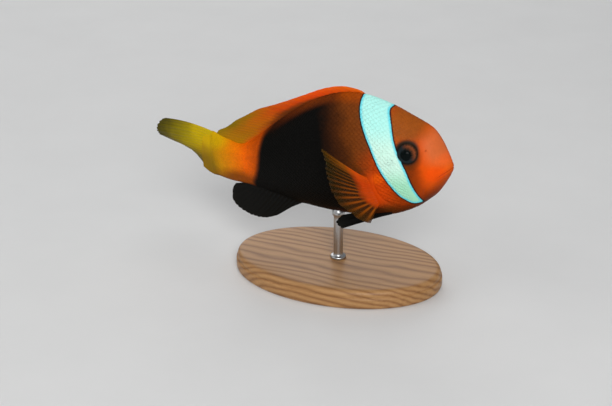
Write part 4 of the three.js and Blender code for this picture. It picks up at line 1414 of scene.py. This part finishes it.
pectoralMaterial = finMaterial("pectoral_fin_finish", {
    "Tip Start": 0.40, "Edge Alpha": 0.6, "Joint Depth": 0.0, "Grain Depth": 0.1, "Fleck": 0.2,
    "Ray Fade": 0.9,
}, {
    "Web Alpha": [(0.0, 0.95), (0.11, 0.92), (0.19, 0.88)],
    "Root Reach": [(0.0, 0.62), (0.12, 0.58), (0.22, 0.48),
                   (1.0, 0.36)],
    "Root Color": [(0.0, (0.60, 0.072, 0.001)), (0.3, (0.58, 0.052, 0.001)), (1.0, (0.56, 0.060, 0.001))],
    "Ray Strength": [(0.0, 0.8), (1.0, 0.95)],
    "Middle Color": [(0.0, (0.28, 0.072, 0.001)), (0.11, (0.24, 0.062, 0.001)), (0.2, (0.030, 0.009, 0.001)),
                     (1.0, (0.060, 0.014, 0.001))],
    "Tip Color": [(0.0, (0.060, 0.030, 0.001)), (0.25, (0.020, 0.013, 0.001)), (0.6, (0.020, 0.011, 0.001)),
                  (1.0, (0.06, 0.022, 0.001))],
    "Ray Color": [(0.0, (0.31, 0.078, 0.001)), (0.13, (0.25, 0.064, 0.001)), (0.22, (0.14, 0.044, 0.001)),
                  (0.5, (0.28, 0.062, 0.001)), (0.8, (0.34, 0.070, 0.001)), (1.0, (0.33, 0.078, 0.001))],
})
darkMaterial = finMaterial("dark_fin_finish", {
    "Root Color": (0.0026, 0.0025, 0.0019), "Middle Color": (0.0030, 0.0028, 0.0020),
    "Tip Color": (0.0045, 0.0040, 0.0024), "Ray Color": (0.0048, 0.0044, 0.0032), "Ray Strength": 0.5,
    "Tip Start": 0.75, "Web Alpha": 1.0, "Edge Alpha": 0.95,
})

stood = ("dorsal_fin_spines", "dorsal_fin_soft")
makeFin("dorsal_fin", midlineRays(dorsalFin, 1), dorsalFin, dorsalMaterial, stood, 11)
makeFin("anal_fin_dark", midlineRays(analFin, -1), analFin, darkMaterial, ("anal_fin",), 12)
makeFin("tail_fin_yellow", tailRay, tailFin, tailMaterial, ("tail_fin",), 13)
for sideName, side in bothSides:
    makeFin("pectoral_fan_" + sideName, fanRays(pectoralFin, pectoralBase, side), pectoralFin,
            pectoralMaterial, ("pectoral_fin_" + sideName,), 14)
    makeFin("pelvic_fan_" + sideName, fanRays(pelvicFin, pelvicBase, side), pelvicFin,
            darkMaterial, ("pelvic_fin_" + sideName,), 15)
print("fins made")

# The stand: the base's edge is [inset, height] and the collar and cuff are [radius, height], in millimetres.
baseLow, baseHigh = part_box("stand_base")
rodLow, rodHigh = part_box("stand_rod")
baseForm = {
    "edge": [(1.0, 0.0), (0.55, 0.12), (0.25, 0.45), (0.06, 0.9), (0.0, 1.5), (0.0, 3.2), (0.04, 3.5),
             (0.22, 3.66), (0.42, 3.72), (0.5, 3.84), (0.46, 4.0), (0.40, 4.25), (0.42, 4.7), (0.58, 5.2),
             (0.9, 5.62), (1.35, 5.88), (1.9, 5.98), (2.5, 6.0)],
    "topRings": 24, "sides": 160, "socketDepth": 3.9, "socketRadius": 1.62,
}
rodForm = {
    "collar": [(2.4, 0.0), (2.5, 0.1), (2.5, 0.65), (2.25, 0.9)],  # over the base
    "collarFillet": [(0.12, 0.95), (0.0, 1.02)],  # radii here are beyond the rod's own
    "cuff": [(1.85, -1.25), (1.95, -1.1), (1.95, 0.5)],  # from the belly
    "cuffFoot": (0.05, -1.3), "cuffTop": 0.8, "plain": (2, -1.4), "plainRows": 12, "bevel": 0.2, "sides": 56,
}
woodLook = {
    "drift": (0.05, 3.0, 0.5, (0.35, 1.0, 1.0)), "fibre": (1.1, 5.0, 0.7, (0.04, 1.0, 1.0)),
    "pores": (5.0, 2.0, 0.5, (0.06, 1.0, 1.0)), "poreEdge": (0.60, 0.72), "poreColour": (0.19, 0.085, 0.030),
    "poreShare": 0.5, "ringsAcross": 0.55, "ringsUp": 0.8, "ringDrift": 9.0, "ringPitch": 3.4,
    "ringCurve": 0.6, "ringShare": 0.45, "fibreShare": 0.6, "roughness": (0.22, 0.34),
    "tones": [(0.2, (0.20, 0.088, 0.030)), (0.5, (0.35, 0.172, 0.062)), (0.85, (0.48, 0.262, 0.104))],
}
steelLook = {
    "brushed": (3.0, 4.0, 0.7, (0.4, 0.4, 9.0)), "smudge": (0.25, 3.0), "roughness": (0.18, 0.16),
    "tones": [(0.3, (0.40, 0.41, 0.42)), (0.7, (0.62, 0.62, 0.61))],
}


def madeOfRings(rings, sides):
    turn = np.linspace(0, 2 * np.pi, sides, endpoint=False)
    points = np.concatenate([
        np.stack([halfLength * np.cos(turn), halfWidth * np.sin(turn), np.full(sides, up)], -1)
        for halfLength, halfWidth, up in rings
    ])
    quads = gridFaces(len(rings), sides, closed=True)
    first = np.arange(sides)[::-1][None, :]
    last = (len(rings) - 1) * sides + np.arange(sides)[None, :]
    return points, [quads, first, last]


def makeBase():
    halfLength = (baseHigh[0] - baseLow[0]) * 500
    halfWidth = (baseHigh[1] - baseLow[1]) * 500
    rings = [(halfLength - inset, halfWidth - inset, up) for inset, up in baseForm["edge"]]
    length, width, top = rings[-1]
    hole = baseForm["socketRadius"]
    for share in np.linspace(0, 1, baseForm["topRings"])[1:]:
        rings.append((length + (hole - length) * share, width + (hole - width) * share, top))
    rings.append((hole, hole, top - baseForm["socketDepth"]))
    points, faces = madeOfRings(rings, baseForm["sides"])
    fields = {"standPlace": points}
    makePiece("stand_base_wood", points * 0.001, faces, woodMaterial, ("stand_base",), fields)


def makeRod():
    form = rodForm
    radius = (rodHigh[0] - rodLow[0]) * 500
    low, high, top = rodLow[2] * 1000, rodHigh[2] * 1000, baseHigh[2] * 1000
    belly = fishForm["height"] - float(bellyAt(fishForm["balance"]))
    plainLow, plainHigh = form["plain"]
    rings = [(radius - form["bevel"], low), (radius, low + form["bevel"]), (radius, top)]
    rings += [(wide, top + up) for wide, up in form["collar"]]
    rings += [(radius + over, top + up) for over, up in form["collarFillet"]]
    rings += [(radius, up) for up in np.linspace(top + plainLow, belly + plainHigh, form["plainRows"])]
    rings += [(radius + form["cuffFoot"][0], belly + form["cuffFoot"][1])]
    rings += [(wide, belly + up) for wide, up in form["cuff"]]
    rings += [(radius, belly + form["cuffTop"])]
    rings += [(radius, high - form["bevel"]), (radius - form["bevel"], high)]
    points, faces = madeOfRings([(wide, wide, up) for wide, up in rings], form["sides"])
    fields = {"standPlace": points}
    makePiece("stand_rod_steel", points * 0.001, faces, steelMaterial, ("stand_rod",), fields)


# Oiled hardwood: yearly rings that drift, long fibres and open pores.
def makeWoodMaterial():
    look = woodLook
    material, tree, shader = newMaterial("stand_wood_finish", {
        "Coat Weight": 0.10, "Coat Roughness": 0.35, "Specular IOR Level": 0.25,
    })
    place = attribute(tree, "standPlace", "Vector")
    spot = axes(place)
    drift = times(noise(place, *look["drift"]), look["ringDrift"])
    rings = plus(plus(times(spot[1], look["ringsAcross"]), drift), times(spot[2], look["ringsUp"]))
    wave = timesPlus(maths("SINE", times(rings, look["ringPitch"])), 0.5, 0.5)
    band = maths("POWER", wave, look["ringCurve"])
    fibre = noise(place, *look["fibre"])
    pores = between(noise(place, *look["pores"]), *look["poreEdge"])
    wood = ramp(timesPlus(band, look["ringShare"], times(fibre, look["fibreShare"])), look["tones"])
    feedAll(shader.inputs, {
        "Base Color": mixed(times(pores, look["poreShare"]), wood, look["poreColour"]),
        "Roughness": timesPlus(fibre, *look["roughness"]),
    })
    bumpUp(shader, minus(times(fibre, 0.5), pores), 0.4, 0.00008)
    return material


def makeSteelMaterial():
    look = steelLook
    material, tree, shader = newMaterial("stand_steel_finish", {"Metallic": 1.0, "Anisotropic": 0.4})
    place = attribute(tree, "standPlace", "Vector")
    brushed = noise(place, *look["brushed"])
    smudge = noise(place, *look["smudge"])
    feedAll(shader.inputs, {
        "Base Color": ramp(brushed, look["tones"]),
        "Roughness": timesPlus(plus(brushed, smudge), *look["roughness"]),
    })
    bumpUp(shader, brushed, 0.15, 0.00005)
    return material


woodMaterial = makeWoodMaterial()
steelMaterial = makeSteelMaterial()
makeBase()
makeRod()
print("stand made")

# The floor, lights and camera, in metres. The camera aims a little off the model's middle.
setForm = {
    "floor": 6.0,
    "floorTone": (0.77, 0.77, 0.76),
    "lights": {
        "key": {"place": (0.42, -0.85, 0.60), "size": 0.5, "power": 8.0},
        "fill": {"place": (-0.75, -0.45, 0.55), "size": 0.7, "power": 1.6},
        "top": {"place": (-0.1, 0.25, 1.0), "size": 0.8, "power": 1.9},
        "rear": {"place": (-0.5, 0.85, 0.45), "size": 0.7, "power": 2.6},
    },
    "sky": 0.22,
    "skyTone": (0.93, 0.95, 1.0),
    "camera": {"azimuth": 21.9, "elevation": 23.9, "distance": 0.47436, "lens": 88.06,
               "aim": (0.00389, -0.00886)},
}


def makeFloor():
    material, tree, shader = newMaterial("floor_finish", {"Specular IOR Level": 0.25})
    paper = noise(addNode(tree, "ShaderNodeTexCoord").outputs["Object"], 30.0, 4.0)
    tone = setForm["floorTone"]
    feedAll(shader.inputs, {
        "Base Color": ramp(paper, [(0.3, tuple(0.97 * part for part in tone)), (0.7, tone)]),
        "Roughness": timesPlus(paper, 0.1, 0.75),
    })
    mesh = bpy.data.meshes.new("floor")
    half = setForm["floor"] / 2
    corners = [(-half, -half, 0), (half, -half, 0), (half, half, 0), (-half, half, 0)]
    mesh.from_pydata(corners, [], [(0, 1, 2, 3)])
    mesh.materials.append(material)
    floor = bpy.data.objects.new("floor", mesh)
    bpy.context.scene.collection.objects.link(floor)


def makeLights(middle):
    world = bpy.data.worlds.new("studio")
    world.use_nodes = True
    sky = world.node_tree.nodes["Background"]
    feedAll(sky.inputs, {"Color": setForm["skyTone"], "Strength": setForm["sky"]})
    bpy.context.scene.world = world
    for name, form in setForm["lights"].items():
        light = bpy.data.lights.new(name + "_light", "AREA")
        light.energy = form["power"]
        light.size = form["size"]
        lamp = bpy.data.objects.new(name + "_light", light)
        lamp.location = form["place"]
        lamp.rotation_euler = (middle - lamp.location).to_track_quat("-Z", "Y").to_euler()
        bpy.context.scene.collection.objects.link(lamp)


def makeCamera(middle):
    form = setForm["camera"]
    camera = bpy.data.objects.new("camera", bpy.data.cameras.new("camera"))
    camera.data.lens = form["lens"]
    camera.data.sensor_width = 36.0
    camera.data.clip_start = 0.01
    camera.data.clip_end = 20.0
    azimuth, elevation = math.radians(form["azimuth"]), math.radians(form["elevation"])
    level = math.cos(elevation)
    away = Vector((math.sin(azimuth) * level, -math.cos(azimuth) * level, math.sin(elevation)))
    aim = middle + Vector((form["aim"][0], 0.0, form["aim"][1]))
    camera.location = aim + away * form["distance"]
    camera.rotation_euler = (-away).to_track_quat("-Z", "Y").to_euler()
    bpy.context.scene.collection.objects.link(camera)
    bpy.context.scene.camera = camera


modelMiddle = (Vector(cadBox[0]) + Vector(cadBox[1])) / 2
makeFloor()
makeLights(modelMiddle)
makeCamera(modelMiddle)
bpy.context.scene.view_settings.view_transform = "Standard"
print("set and camera ready")
